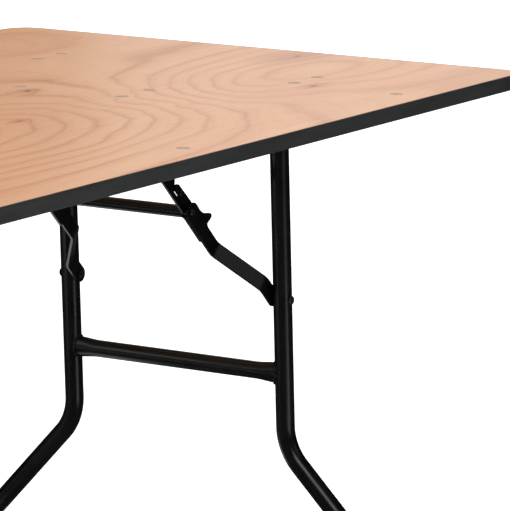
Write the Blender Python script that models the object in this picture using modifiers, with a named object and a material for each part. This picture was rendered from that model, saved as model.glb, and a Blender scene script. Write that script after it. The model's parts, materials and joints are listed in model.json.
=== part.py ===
"""A rectangular folding table: a plywood top with a T-moulded edge and two folding wishbone leg frames.

Run it with blender --background --python part.py. Lengths are in metres and +Z is up. The origin is on the
floor under the middle of the top, with X along the table. Each shape is drawn once for end "a", the +X end,
on its right-hand side, which is -Y. The left-hand piece is its mirror image, and end "b" is end "a" turned
half round, so the four copies of a piece share two meshes.
"""

import math

import bmesh
import bpy
from mathutils import Matrix, Vector

# Driving dimensions of the whole table.
TOP_LENGTH = 2.438
TOP_WIDTH = 0.762
TABLE_HEIGHT = 0.762
PLY_THICKNESS = 0.018
CORNER_RADIUS = 0.036
GAP = 0.0003

# Edge moulding: a face as high as the plywood, and a barbed tongue that sits in a groove.
MOULD_FACE = 0.003
MOULD_ROUND = 0.0008
TONGUE_DEPTH = 0.009
TONGUE_THICKNESS = 0.0016
GROOVE_THICKNESS = 0.0022
CORNER_STEPS = 6

# Steel tubes.
LEG_DIAMETER = 0.0234
CROSSBAR_DIAMETER = 0.0215
KNUCKLE_DIAMETER = 0.015
WALL = 0.0012
TUBE_SIDES_RESOLUTION = 4
WELD = 1e-5

# Leg frame. Places are given from the end of the top (inwards) and down from its upper face.
LEG_SIDE = 0.157
LEG_FROM_END = 0.2201
LEG_LEAN = 0.0452
PIVOT_DOWN = 0.035
LEG_TOP_DOWN = 0.026
SPLAY_SLOPE = math.tan(math.radians(43.8))
UPPER_BEND_DOWN, UPPER_BEND_RADIUS = 0.4605, 0.070
LOWER_BEND_DOWN, LOWER_BEND_RADIUS = 0.612, 0.052
BEND_STEPS = 5
CROSSBAR_DOWN = 0.366
CROSSBAR_STATIONS = (0.0, 0.0145, 0.020, 0.026, 0.032, 0.040)
CROSSBAR_FLARE = 0.028
CROSSBAR_FLARE_HEIGHT = 1.20
CROSSBAR_FLARE_DEPTH = 0.88

# Foot caps, turned about the leg's axis and cut flat on the floor.
FOOT_HEIGHT = 0.034
FOOT_BASE = 0.004
FOOT_RADIUS = 0.0148

# Leg brackets: a base plate bolted under the top, and an ear that carries the leg.
LEG_BRACKET_FROM_END = (0.166, 0.246)
LEG_EAR_INNER = 0.171
LEG_BRACKET_OUTER = 0.202

# Side rails, shallow hat sections that stiffen the long edges.
RAIL_SIDE = 0.336
RAIL_HALF_LENGTH = 1.060
RAIL_HALF_WIDTH = 0.016
RAIL_CROWN_HALF_WIDTH = 0.009
RAIL_DEPTH = 0.0125
RAIL_THICKNESS = 0.0015

# Folding brace: flat bars in planes parallel to XZ.
BAR_WIDTH = 0.020
BAR_THICKNESS = 0.003
BAR_CLEARANCE = 0.001
BRACE_PIVOT_FROM_END = 0.448
LEG_RIVET_DOWN = 0.2725
EAR_INNER = 0.0925
UPPER_INNER = EAR_INNER + BAR_THICKNESS + BAR_CLEARANCE
LOWER_INNER = UPPER_INNER + BAR_THICKNESS + BAR_CLEARANCE
LOWER_OUTER = LOWER_INNER + BAR_THICKNESS
TAIL_LENGTH = 0.043
TAIL_WIDTH = 0.0095
NOTCH = ((-0.050, 0.011), (-0.0415, -0.0005), (-0.0265, -0.0005), (-0.0375, 0.011))
JOGGLE_START, JOGGLE_END = 0.080, 0.1435
JOGGLE_EASE = 0.005
LEG_PLATE_MIDDLE = LEG_SIDE - LEG_DIAMETER / 2 - 0.0008 - BAR_THICKNESS / 2

# Brace brackets, pins and rivets.
BRACE_BRACKET_FROM_END = (0.358, 0.462)
BRACE_BRACKET_INNER = 0.058
EAR_RADIUS = 0.013
PIN_RADIUS = 0.004
HOLE_RADIUS = PIN_RADIUS + GAP
HEAD_HEIGHT = 0.0028
PIN_HEAD_RADIUS = 0.0075
LEG_RIVET_HEAD_RADIUS = 0.0058

# Lock lever: a pressed plate on the knuckle, in distances along and across the lower bar.
LEVER_THICKNESS = 0.002
LEVER_OUTLINE = (
    (-0.0060, -0.0113), (-0.0098, -0.0060), (-0.0105, 0.0010), (-0.0085, 0.0070), (-0.0050, 0.0112),
    (-0.0005, 0.0132), (0.0060, 0.0131), (0.0130, 0.0125), (0.0180, 0.0135), (0.0235, 0.0162),
    (0.0290, 0.0205), (0.0330, 0.0230), (0.0362, 0.0225), (0.0379, 0.0195), (0.0382, 0.0150),
    (0.0370, 0.0110), (0.0400, 0.0098), (0.0450, 0.0096), (0.0470, 0.0040), (0.0470, -0.0113),
)
LEVER_FLANGE_ALONG = (-0.004, 0.047)

COLOURS = {
    "plywood": ((0.72, 0.52, 0.37), 0.45, 0.0),
    "moulding": ((0.030, 0.031, 0.031), 0.45, 0.0),
    "powder_coat": ((0.008, 0.008, 0.008), 0.32, 0.0),
    "foot_plastic": ((0.012, 0.012, 0.012), 0.55, 0.0),
    "black_steel": ((0.015, 0.015, 0.015), 0.35, 0.6),
}

HALF_LENGTH = TOP_LENGTH / 2
UNDERSIDE = TABLE_HEIGHT - PLY_THICKNESS


def place(from_end, down, side=0.0):
    """A point of end "a", from its distance to the end, its depth below the upper face and its y."""
    return Vector((HALF_LENGTH - from_end, side, TABLE_HEIGHT - down))


def leg_point(down, side=0.0):
    """A point of the leaning leg plane at end "a", from its depth and its distance to the right."""
    return place(LEG_FROM_END - LEG_LEAN * down, down, -side)


# The brace is straight at rest. Folded, both of its bars lie level, so its knuckle is placed for that.
PIVOT = leg_point(PIVOT_DOWN)
LEG_RIVET = leg_point(LEG_RIVET_DOWN)
BRACE_PIVOT = place(BRACE_PIVOT_FROM_END, PIVOT_DOWN)
BAR_DIRECTION = (LEG_RIVET - BRACE_PIVOT).normalized()
FOLDED_RIVET_X = PIVOT.x - (LEG_RIVET - PIVOT).length
KNUCKLE_ALONG = ((LEG_RIVET - BRACE_PIVOT).length - abs(BRACE_PIVOT.x - FOLDED_RIVET_X)) / 2
KNUCKLE = BRACE_PIVOT + BAR_DIRECTION * KNUCKLE_ALONG
LOWER_LENGTH = (LEG_RIVET - KNUCKLE).length


def clear_scene():
    for obj in list(bpy.data.objects):
        bpy.data.objects.remove(obj, do_unlink=True)


def new_collection(name):
    collection = bpy.data.collections.new(name)
    bpy.context.scene.collection.children.link(collection)
    return collection


def new_material(name):
    colour, roughness, metallic = COLOURS[name]
    material = bpy.data.materials.new(name)
    material.use_nodes = True
    shader = material.node_tree.nodes["Principled BSDF"]
    shader.inputs["Base Color"].default_value = (*colour, 1.0)
    shader.inputs["Roughness"].default_value = roughness
    shader.inputs["Metallic"].default_value = metallic
    material.diffuse_color = (*colour, 1.0)
    return material


# Shapes ---------------------------------------------------------------------------------------------


def mesh_of(obj):
    """The object's evaluated mesh in world space, welded. The object itself is removed."""
    bpy.context.view_layer.update()
    evaluated = obj.evaluated_get(bpy.context.evaluated_depsgraph_get())
    mesh = bpy.data.meshes.new_from_object(evaluated)
    mesh.transform(obj.matrix_world)
    bpy.data.objects.remove(obj, do_unlink=True)
    work = bmesh.new()
    work.from_mesh(mesh)
    bmesh.ops.remove_doubles(work, verts=work.verts, dist=WELD)
    work.to_mesh(mesh)
    work.free()
    return mesh


def loose_object(data):
    obj = bpy.data.objects.new("working_shape", data)
    cutters.objects.link(obj)
    obj.hide_render = True
    obj.display_type = "WIRE"
    return obj


def curve_object(loops, cyclic, dimensions):
    """A curve of straight pieces through each loop of points."""
    curve = bpy.data.curves.new("working_curve", "CURVE")
    curve.dimensions = dimensions
    for points in loops:
        spline = curve.splines.new("POLY")
        spline.points.add(len(points) - 1)
        spline.use_cyclic_u = cyclic
        for target, point in zip(spline.points, points):
            target.co = (*point, *(0.0,) * (3 - len(point)), 1.0)
    return loose_object(curve)


def plate(loops, thickness, matrix):
    """A flat plate from 2D outlines, any after the first being holes, laid in the matrix's XY plane."""
    obj = curve_object(loops, True, "2D")
    obj.data.fill_mode = "BOTH"
    obj.data.extrude = thickness / 2
    obj.matrix_world = matrix
    return mesh_of(obj)


def tube(points, diameter, wall=WALL):
    """A round tube through the points, open at both ends."""
    obj = curve_object([points], False, "3D")
    obj.data.bevel_depth = diameter / 2
    obj.data.bevel_resolution = TUBE_SIDES_RESOLUTION
    obj.data.use_fill_caps = wall == 0
    mesh = mesh_of(obj)
    return thicken(mesh, wall, -1) if wall else mesh


def thicken(mesh, thickness, offset):
    obj = loose_object(mesh)
    solidify = obj.modifiers.new("wall", "SOLIDIFY")
    solidify.thickness = thickness
    solidify.offset = offset
    solidify.use_even_offset = True
    return mesh_of(obj)


def cylinder(start, end, radius, sides=12):
    """A solid cylinder between two points."""
    start, end = Vector(start), Vector(end)
    mesh = bpy.data.meshes.new("working_cylinder")
    work = bmesh.new()
    turn = (end - start).to_track_quat("Z", "Y").to_matrix().to_4x4()
    bmesh.ops.create_cone(
        work,
        cap_ends=True,
        segments=sides,
        radius1=radius,
        radius2=radius,
        depth=(end - start).length,
        matrix=Matrix.Translation((start + end) / 2) @ turn,
    )
    work.to_mesh(mesh)
    work.free()
    return mesh


def box(low, high):
    """A box between two corners."""
    low, high = Vector(low), Vector(high)
    mesh = bpy.data.meshes.new("working_box")
    work = bmesh.new()
    size = Matrix.Diagonal((*(high - low), 1.0))
    bmesh.ops.create_cube(work, size=1.0, matrix=Matrix.Translation((low + high) / 2) @ size)
    work.to_mesh(mesh)
    work.free()
    return mesh


def turned(profile, matrix, steps=12):
    """A solid of revolution about the matrix's Z axis, from (radius, height) points, top to bottom."""
    mesh = bpy.data.meshes.new("working_profile")
    count = len(profile)
    mesh.from_pydata([(r, 0.0, z) for r, z in profile], [(i, i + 1) for i in range(count - 1)], [])
    obj = loose_object(mesh)
    screw = obj.modifiers.new("turn", "SCREW")
    screw.steps = screw.render_steps = steps
    screw.use_merge_vertices = True
    screw.merge_threshold = 0.00001
    obj.matrix_world = matrix
    return mesh_of(obj)


def combine(mesh, others, operation="DIFFERENCE"):
    """The mesh after a Boolean with each of the others."""
    for other in others:
        obj, tool = loose_object(mesh), loose_object(other)
        boolean = obj.modifiers.new("boolean", "BOOLEAN")
        boolean.operation = operation
        boolean.object = tool
        mesh = mesh_of(obj)
        bpy.data.objects.remove(tool, do_unlink=True)
    return mesh


def soften(mesh, width, segments=2, angle=50):
    """The mesh with its sharp edges rounded."""
    obj = loose_object(mesh)
    bevel = obj.modifiers.new("round", "BEVEL")
    bevel.width = width
    bevel.segments = segments
    bevel.limit_method = "ANGLE"
    bevel.angle_limit = math.radians(angle)
    return mesh_of(obj)


def arc(centre, radius, start, end, steps):
    """Points of a 2D arc, with its angles in degrees."""
    angles = [math.radians(start + (end - start) * i / steps) for i in range(steps + 1)]
    return [(centre[0] + radius * math.cos(t), centre[1] + radius * math.sin(t)) for t in angles]


def rounded_rectangle(half_x, half_y, radius):
    points = []
    for quarter, (sign_x, sign_y) in enumerate(((1, 1), (-1, 1), (-1, -1), (1, -1))):
        centre = (sign_x * (half_x - radius), sign_y * (half_y - radius))
        points += arc(centre, radius, 90 * quarter, 90 * quarter + 90, CORNER_STEPS)
    return points


def bent_path(corners, radii):
    """Points through the corners, with an arc of each radius at the corners between the two ends."""
    points = [Vector(corners[0])]
    for before, corner, after, radius in zip(corners, corners[1:], corners[2:], radii):
        back = (Vector(before) - Vector(corner)).normalized()
        ahead = (Vector(after) - Vector(corner)).normalized()
        half = back.angle(ahead) / 2
        bisector = (back + ahead).normalized()
        centre = Vector(corner) + bisector * (radius / math.sin(half))
        first = Vector(corner) + back * (radius / math.tan(half)) - centre
        last = Vector(corner) + ahead * (radius / math.tan(half)) - centre
        steps = range(BEND_STEPS + 1)
        points += [centre + first.normalized().slerp(last.normalized(), i / BEND_STEPS) * radius for i in steps]
    return points + [Vector(corners[-1])]


def side_plane(origin, along, y):
    """A frame whose X runs along the given direction in the XZ plane, and whose Z points to -Y, outwards."""
    along = Vector(along).normalized()
    across = Vector((-along.z, 0.0, along.x))
    turn = Matrix((along, across, along.cross(across))).transposed().to_4x4()
    return Matrix.Translation((origin[0], -y, origin[2])) @ turn


# Root pieces ----------------------------------------------------------------------------------------


def outline(inset):
    return rounded_rectangle(TOP_LENGTH / 2 - inset, TOP_WIDTH / 2 - inset, CORNER_RADIUS - inset)


def level(z):
    return Matrix.Translation((0.0, 0.0, z))


def tabletop():
    middle = UNDERSIDE + PLY_THICKNESS / 2
    board = plate([outline(MOULD_FACE + GAP)], PLY_THICKNESS, level(middle))
    groove_loops = [outline(0.0), outline(MOULD_FACE + TONGUE_DEPTH + 2 * GAP)]
    return combine(board, [plate(groove_loops, GROOVE_THICKNESS, level(middle))])


def edge_moulding():
    middle = UNDERSIDE + PLY_THICKNESS / 2
    face = soften(plate([outline(0.0), outline(MOULD_FACE)], PLY_THICKNESS, level(middle)), MOULD_ROUND)
    tongue_loops = [outline(MOULD_FACE / 2), outline(MOULD_FACE + TONGUE_DEPTH)]
    return combine(face, [plate(tongue_loops, TONGUE_THICKNESS, level(middle))], "UNION")


def side_rail():
    """Half of the hat section's outline, in y and depth, mirrored to make the whole."""
    top, thick = GAP, RAIL_THICKNESS
    half = [
        (0.0, RAIL_DEPTH - thick), (RAIL_CROWN_HALF_WIDTH - thick, RAIL_DEPTH - thick),
        (RAIL_CROWN_HALF_WIDTH - thick, top), (RAIL_HALF_WIDTH, top), (RAIL_HALF_WIDTH, top + thick),
        (RAIL_CROWN_HALF_WIDTH, top + thick), (RAIL_CROWN_HALF_WIDTH, RAIL_DEPTH), (0.0, RAIL_DEPTH),
    ]
    section = half[1:-1] + [(-y, depth) for y, depth in reversed(half[1:-1])]
    points = [(-RAIL_SIDE + y, UNDERSIDE - depth) for y, depth in section]
    turn = Matrix(((0, 0, 1), (1, 0, 0), (0, 1, 0))).to_4x4()
    return plate([points], 2 * RAIL_HALF_LENGTH, turn)


def eared_bracket(from_end, sides, ear_inner, pivot):
    """A base plate bolted under the top, with an ear turned down along one edge to carry a pivot."""
    top, base = UNDERSIDE - GAP, UNDERSIDE - GAP - BAR_THICKNESS
    low, high = (HALF_LENGTH - distance for distance in reversed(from_end))
    base_plate = box((low, -sides[1], base), (high, -sides[0], top))
    drop = top - pivot.z - BAR_THICKNESS / 2
    ear_points = [(EAR_RADIUS, drop), (-EAR_RADIUS, drop), *arc((0, 0), EAR_RADIUS, 180, 360, 8)]
    ear_plane = side_plane(pivot, (1, 0, 0), ear_inner + BAR_THICKNESS / 2)
    ear = plate([ear_points], BAR_THICKNESS, ear_plane)
    whole = combine(base_plate, [ear], "UNION")
    return combine(whole, [across_hole(pivot, HOLE_RADIUS, ear_inner - 0.01, ear_inner + 0.02)])


def leg_bracket():
    return eared_bracket(LEG_BRACKET_FROM_END, (LEG_EAR_INNER, LEG_BRACKET_OUTER), LEG_EAR_INNER, PIVOT)


def brace_bracket():
    sides = (BRACE_BRACKET_INNER, EAR_INNER + BAR_THICKNESS)
    return eared_bracket(BRACE_BRACKET_FROM_END, sides, EAR_INNER, BRACE_PIVOT)


def across_hole(point, radius, near, far):
    """A cylinder along Y from one side distance to another, on the right-hand side."""
    return cylinder((point.x, -far, point.z), (point.x, -near, point.z), radius)


# Pins and rivets ------------------------------------------------------------------------------------


def headed_pin(point, sides, radius, head_radius, heads=("inner", "outer")):
    """A pin along Y between two side distances, with a domed head past each end that has one."""
    near, far = sides
    top = [(radius, far), (0.0, far)]
    if "outer" in heads:
        dome = arc((0.0, 0.0), 1.0, 0, 90, 3)
        top = [(radius, far)] + [(head_radius * c, far + HEAD_HEIGHT * (0.25 + 0.75 * s)) for c, s in dome]
        top.insert(1, (head_radius, far))
    bottom = [(radius, near), (0.0, near)]
    if "inner" in heads:
        bottom = [(radius, near), (head_radius, near), (head_radius, near - HEAD_HEIGHT), (0.0, near - HEAD_HEIGHT)]
    matrix = Matrix.Translation((point.x, 0.0, point.z)) @ Matrix.Rotation(math.radians(90), 4, "X")
    return turned(list(reversed(top)) + bottom, matrix)


def leg_pin():
    sides = (LEG_SIDE - LEG_DIAMETER / 2 - GAP, LEG_EAR_INNER + BAR_THICKNESS + GAP)
    return headed_pin(PIVOT, sides, PIN_RADIUS, PIN_HEAD_RADIUS)


def brace_pin():
    sides = (EAR_INNER - GAP, UPPER_INNER + BAR_THICKNESS + GAP)
    return headed_pin(BRACE_PIVOT, sides, PIN_RADIUS, PIN_HEAD_RADIUS)


def knuckle_rivet():
    """Ends flush inside the lower bar, clear of the upper bar."""
    sides = (LOWER_INNER - BAR_CLEARANCE / 2, LOWER_OUTER + 2 * GAP + LEVER_THICKNESS)
    return headed_pin(KNUCKLE, sides, PIN_RADIUS, PIN_HEAD_RADIUS, ("outer",))


def leg_rivet():
    """The half of the leg's pivot that passes through the tube. It ends flush with the tube's inner side."""
    sides = (LEG_SIDE - LEG_DIAMETER / 2, LEG_SIDE + LEG_DIAMETER / 2 + GAP)
    return headed_pin(LEG_RIVET, sides, PIN_RADIUS, LEG_RIVET_HEAD_RADIUS, ("outer",))


def bar_rivet():
    """The half of the leg's pivot that passes through the lower bar, clear of the tube."""
    sides = (LEG_PLATE_MIDDLE - BAR_THICKNESS / 2 - GAP, LEG_PLATE_MIDDLE + BAR_THICKNESS / 2 + GAP)
    return headed_pin(LEG_RIVET, sides, PIN_RADIUS, LEG_RIVET_HEAD_RADIUS, ("inner",))


# Leg frame ------------------------------------------------------------------------------------------


def foot_side():
    return LEG_SIDE + (LOWER_BEND_DOWN - UPPER_BEND_DOWN) * SPLAY_SLOPE


def leg_tube():
    points = bent_path(
        (
            leg_point(LEG_TOP_DOWN, LEG_SIDE),
            leg_point(UPPER_BEND_DOWN, LEG_SIDE),
            leg_point(LOWER_BEND_DOWN, foot_side()),
            leg_point(TABLE_HEIGHT - FOOT_BASE - GAP, foot_side()),
        ),
        (UPPER_BEND_RADIUS, LOWER_BEND_RADIUS),
    )
    holes = [across_hole(point, HOLE_RADIUS, 0.13, 0.19) for point in (PIVOT, LEG_RIVET)]
    return combine(tube(points, LEG_DIAMETER), holes)


def leg_crossbar():
    """A tube whose ends are pressed taller and thinner, and coped to fit the legs."""
    middle = leg_point(CROSSBAR_DOWN)
    stations = [LEG_SIDE - step for step in CROSSBAR_STATIONS]
    sides = [-side for side in stations] + list(reversed(stations))
    mesh = tube([(middle.x, side, middle.z) for side in sides], CROSSBAR_DIAMETER)
    reach = LEG_DIAMETER / 2 + GAP
    for vertex in mesh.vertices:
        blend = min(max((abs(vertex.co.y) - LEG_SIDE + reach) / CROSSBAR_FLARE + 1.0, 0.0), 1.0)
        blend = blend * blend * (3 - 2 * blend)
        vertex.co.z = middle.z + (vertex.co.z - middle.z) * (1 + (CROSSBAR_FLARE_HEIGHT - 1) * blend)
        vertex.co.x = middle.x + (vertex.co.x - middle.x) * (1 + (CROSSBAR_FLARE_DEPTH - 1) * blend)
        if abs(vertex.co.y) > LEG_SIDE - reach / 2:
            aside = vertex.co.x - leg_point(TABLE_HEIGHT - vertex.co.z).x
            vertex.co.y = math.copysign(LEG_SIDE - math.sqrt(reach**2 - aside**2), vertex.co.y)
    return mesh


def foot_cap():
    bore = LEG_DIAMETER / 2 + GAP
    profile = [
        (0.0, FOOT_BASE), (bore, FOOT_BASE), (bore, FOOT_HEIGHT), (bore + 0.0012, FOOT_HEIGHT),
        (FOOT_RADIUS - 0.0006, FOOT_HEIGHT - 0.003), (FOOT_RADIUS, 0.008), (FOOT_RADIUS, 0.003),
        (FOOT_RADIUS - 0.0016, -0.0006), (FOOT_RADIUS - 0.0025, -0.004), (0.0, -0.004),
    ]
    foot = leg_point(TABLE_HEIGHT, foot_side())
    axis = (leg_point(LOWER_BEND_DOWN, foot_side()) - foot).normalized()
    matrix = Matrix.Translation(foot) @ axis.to_track_quat("Z", "Y").to_matrix().to_4x4()
    floor = box((foot.x - 0.04, foot.y - 0.04, -0.04), (foot.x + 0.04, foot.y + 0.04, 0.0))
    return combine(turned(profile, matrix, 16), [floor])


# Folding brace --------------------------------------------------------------------------------------


def upper_bar():
    """Round at both ends, with a notch under the lower bar's tail."""
    half = BAR_WIDTH / 2
    points = arc((KNUCKLE_ALONG, 0.0), half, -90, 90, 8)
    points += [(KNUCKLE_ALONG + along, min(across, half)) for along, across in reversed(NOTCH)]
    points += arc((0.0, 0.0), half, 90, 270, 8)
    middle = UPPER_INNER + BAR_THICKNESS / 2
    bar = plate([points], BAR_THICKNESS, side_plane(BRACE_PIVOT, BAR_DIRECTION, middle))
    return combine(bar, [across_hole(BRACE_PIVOT, HOLE_RADIUS, 0.06, 0.12)])


def joggle(along):
    """The lower bar's distance from the table's middle line at a distance along it from the knuckle."""
    near, far = LOWER_INNER + BAR_THICKNESS / 2, LEG_PLATE_MIDDLE
    rise = (far - near) / (JOGGLE_END - JOGGLE_START)

    def ramp(x):
        return 0.0 if x <= -JOGGLE_EASE else x if x >= JOGGLE_EASE else (x + JOGGLE_EASE) ** 2 / (4 * JOGGLE_EASE)

    return near + rise * (ramp(along - JOGGLE_START) - ramp(along - JOGGLE_END))


def lower_bar_outline():
    """Round about the leg rivet and the knuckle, with a narrow tail past the knuckle."""
    half, tail = BAR_WIDTH / 2, TAIL_WIDTH / 2
    points = arc((LOWER_LENGTH, 0.0), half, -90, 90, 8)
    points += arc((tail - TAIL_LENGTH, half - tail), tail, 90, 270, 4)
    return points + arc((0.0, 0.0), half, 183, 270, 4)


def lower_bar():
    """A flat bar that steps outwards between the knuckle and the leg."""
    obj = curve_object([lower_bar_outline()], True, "2D")
    obj.data.fill_mode = "BOTH"
    mesh = mesh_of(obj)
    work = bmesh.new()
    work.from_mesh(mesh)
    for bend in (JOGGLE_START, JOGGLE_END):
        for step in (-1, 0, 1):
            geometry = work.verts[:] + work.edges[:] + work.faces[:]
            plane = (bend + step * JOGGLE_EASE, 0, 0)
            bmesh.ops.bisect_plane(work, geom=geometry, plane_co=plane, plane_no=(1, 0, 0), dist=1e-7)
    for vertex in work.verts:
        vertex.co.z = joggle(vertex.co.x)
    work.to_mesh(mesh)
    work.free()
    mesh.transform(side_plane(KNUCKLE, BAR_DIRECTION, 0.0))
    bar = thicken(mesh, BAR_THICKNESS, 0)
    holes = [across_hole(KNUCKLE, HOLE_RADIUS, 0.08, 0.12), across_hole(LEG_RIVET, HOLE_RADIUS, 0.13, 0.155)]
    return combine(bar, holes)


def knuckle_tube():
    half = UPPER_INNER - GAP
    return tube([(KNUCKLE.x, -half, KNUCKLE.z), (KNUCKLE.x, half, KNUCKLE.z)], KNUCKLE_DIAMETER)


def lock_lever():
    """A pressed plate with a thumb tab, and a flange under the lower bar that stops it."""
    middle = LOWER_OUTER + GAP + LEVER_THICKNESS / 2
    face = plate([LEVER_OUTLINE], LEVER_THICKNESS, side_plane(KNUCKLE, BAR_DIRECTION, middle))
    start, end = LEVER_FLANGE_ALONG
    edge = -BAR_WIDTH / 2 - GAP
    outline_2d = [(start, edge), (start, edge - LEVER_THICKNESS), (end, edge - LEVER_THICKNESS), (end, edge)]
    depth = LOWER_OUTER + GAP + LEVER_THICKNESS - LOWER_INNER
    flange = plate([outline_2d], depth, side_plane(KNUCKLE, BAR_DIRECTION, LOWER_INNER + depth / 2))
    whole = combine(face, [flange], "UNION")
    return combine(whole, [across_hole(KNUCKLE, HOLE_RADIUS, 0.09, 0.12)])


# Assembly -------------------------------------------------------------------------------------------


def mirrored(mesh):
    """The left-hand copy of a right-hand mesh."""
    copy = mesh.copy()
    copy.transform(Matrix.Scale(-1.0, 4, (0.0, 1.0, 0.0)))
    copy.flip_normals()
    return copy


def new_empty(name, parent, location=(0.0, 0.0, 0.0), turn=0.0):
    empty = bpy.data.objects.new(name, None)
    empty.empty_display_size = 0.05
    empty.location = location
    empty.rotation_euler.z = turn
    empty.parent = parent
    parts.objects.link(empty)
    return empty


def add_piece(name, mesh, material, parent=None):
    mesh.name = name
    mesh.materials.clear()
    mesh.materials.append(materials[material])
    mesh.shade_smooth()
    mesh.set_sharp_from_angle(angle=math.radians(35))
    obj = bpy.data.objects.new(name, mesh)
    obj.parent = parent
    parts.objects.link(obj)
    return obj


def add_at_both_ends(name, mesh, material, group, groups, pivots):
    """One object at each end, with its origin on the group's joint axis."""
    mesh.transform(Matrix.Translation(-pivots[group]))
    for end in "ab":
        add_piece(f"{name}_{end}", mesh, material, groups[end][group])


clear_scene()
parts = new_collection("folding_table")
cutters = new_collection("cutters")
materials = {name: new_material(name) for name in COLOURS}

PIVOTS = {
    "fixed": Vector((0.0, 0.0, 0.0)),
    "legs": PIVOT,
    "upper_brace": BRACE_PIVOT,
    "lower_brace": LEG_RIVET,
    "lever": KNUCKLE,
}
GROUPS = {}
for end_name, end_turn in (("a", 0.0), ("b", math.pi)):
    end_empty = new_empty(f"end_{end_name}", None, turn=end_turn)
    GROUPS[end_name] = {
        group: new_empty(f"{group}_{end_name}", end_empty, point) for group, point in PIVOTS.items()
    }

add_piece("tabletop", tabletop(), "plywood")
add_piece("edge_moulding", edge_moulding(), "moulding")
rail = side_rail()
add_piece("side_rail_right", rail, "powder_coat")
add_piece("side_rail_left", mirrored(rail), "powder_coat")

MIDDLE_PIECES = (
    ("leg_crossbar", leg_crossbar, "powder_coat", "legs"),
    ("knuckle_tube", knuckle_tube, "powder_coat", "upper_brace"),
)
PAIRED_PIECES = (
    ("leg_bracket", leg_bracket, "powder_coat", "fixed"),
    ("leg_pin", leg_pin, "black_steel", "fixed"),
    ("brace_bracket", brace_bracket, "powder_coat", "fixed"),
    ("brace_pin", brace_pin, "black_steel", "fixed"),
    ("leg_tube", leg_tube, "powder_coat", "legs"),
    ("foot_cap", foot_cap, "foot_plastic", "legs"),
    ("leg_rivet", leg_rivet, "black_steel", "legs"),
    ("upper_bar", upper_bar, "powder_coat", "upper_brace"),
    ("lower_bar", lower_bar, "powder_coat", "lower_brace"),
    ("bar_rivet", bar_rivet, "black_steel", "lower_brace"),
    ("knuckle_rivet", knuckle_rivet, "black_steel", "lower_brace"),
    ("lock_lever", lock_lever, "powder_coat", "lever"),
)
for piece, build, finish, body in MIDDLE_PIECES:
    add_at_both_ends(piece, build(), finish, body, GROUPS, PIVOTS)
for piece, build, finish, body in PAIRED_PIECES:
    right = build()
    left = mirrored(right)
    add_at_both_ends(f"{piece}_right", right, finish, body, GROUPS, PIVOTS)
    add_at_both_ends(f"{piece}_left", left, finish, body, GROUPS, PIVOTS)
bpy.data.batch_remove([mesh for mesh in bpy.data.meshes if mesh.users == 0])
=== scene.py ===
"""Looks of the plywood folding table: veneered top, moulded edge, wishbone legs and folding braces."""

import json
import logging
import math
from collections.abc import Callable, Iterable, Sequence
from dataclasses import dataclass, field
from enum import Enum

import bmesh
import bpy
from mathutils import Matrix, Vector

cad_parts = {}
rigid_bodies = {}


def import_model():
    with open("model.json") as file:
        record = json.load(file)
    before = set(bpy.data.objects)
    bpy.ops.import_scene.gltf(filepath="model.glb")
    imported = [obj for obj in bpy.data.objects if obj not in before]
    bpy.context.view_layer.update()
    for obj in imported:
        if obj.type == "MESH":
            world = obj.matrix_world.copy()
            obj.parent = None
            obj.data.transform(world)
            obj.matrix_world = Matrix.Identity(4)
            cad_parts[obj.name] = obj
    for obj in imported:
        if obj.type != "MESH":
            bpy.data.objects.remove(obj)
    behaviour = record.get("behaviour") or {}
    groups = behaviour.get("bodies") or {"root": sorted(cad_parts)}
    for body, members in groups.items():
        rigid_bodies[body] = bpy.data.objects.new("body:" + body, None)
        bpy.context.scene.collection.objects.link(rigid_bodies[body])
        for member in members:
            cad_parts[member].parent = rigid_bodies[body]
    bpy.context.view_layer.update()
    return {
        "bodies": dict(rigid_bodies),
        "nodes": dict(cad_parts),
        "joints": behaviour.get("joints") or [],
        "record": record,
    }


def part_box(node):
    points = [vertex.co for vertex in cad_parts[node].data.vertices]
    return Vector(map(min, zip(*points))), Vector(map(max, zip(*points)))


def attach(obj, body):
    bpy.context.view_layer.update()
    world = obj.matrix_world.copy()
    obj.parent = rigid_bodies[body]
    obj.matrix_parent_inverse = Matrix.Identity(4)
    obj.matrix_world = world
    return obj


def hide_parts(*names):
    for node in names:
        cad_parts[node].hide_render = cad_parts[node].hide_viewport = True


LOG = logging.getLogger("folding_table")
TAU = 2.0 * math.pi
TURNED_CREASE = 35.0
RIB_CREASE = 32.0
WELD_CREASE = 80.0

Point2 = tuple[float, float]
Point3 = tuple[float, float, float]
Colour = tuple[float, float, float]


class End(Enum):
    """The two ends of the table."""

    A = "a"
    B = "b"

    @property
    def turn(self) -> Matrix:
        """The turn that carries a piece of end a to this end."""
        return Matrix.Rotation(0.0 if self is End.A else math.pi, 4, "Z")


class Side(Enum):
    """The two sides of an end, as seen by someone who faces the middle of the table."""

    RIGHT = "right"
    LEFT = "left"

    @property
    def mirror(self) -> Matrix:
        """The mirroring that carries a right-hand piece to this side."""
        return Matrix.Scale(1.0 if self is Side.RIGHT else -1.0, 4, (0.0, 1.0, 0.0))


class Slot(Enum):
    """Material slots of the record."""

    PLYWOOD = "plywood"
    MOULDING = "moulding"
    POWDER_COAT = "powder_coat"
    FOOT_PLASTIC = "foot_plastic"
    BLACK_STEEL = "black_steel"


# Shapes ---------------------------------------------------------------------------------------------


def mesh_from(work: bmesh.types.BMesh, name: str, weld: float = 1e-6) -> bpy.types.Mesh:
    """Closes a bmesh into a mesh with welded points and outward faces.

    Args:
        work: The bmesh, which is freed.
        name: Name of the new mesh.
        weld: Distance under which points become one.

    Returns:
        The new mesh.
    """
    bmesh.ops.remove_doubles(work, verts=work.verts, dist=weld)
    bmesh.ops.recalc_face_normals(work, faces=work.faces)
    mesh = bpy.data.meshes.new(name)
    work.to_mesh(mesh)
    work.free()
    return mesh


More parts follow.
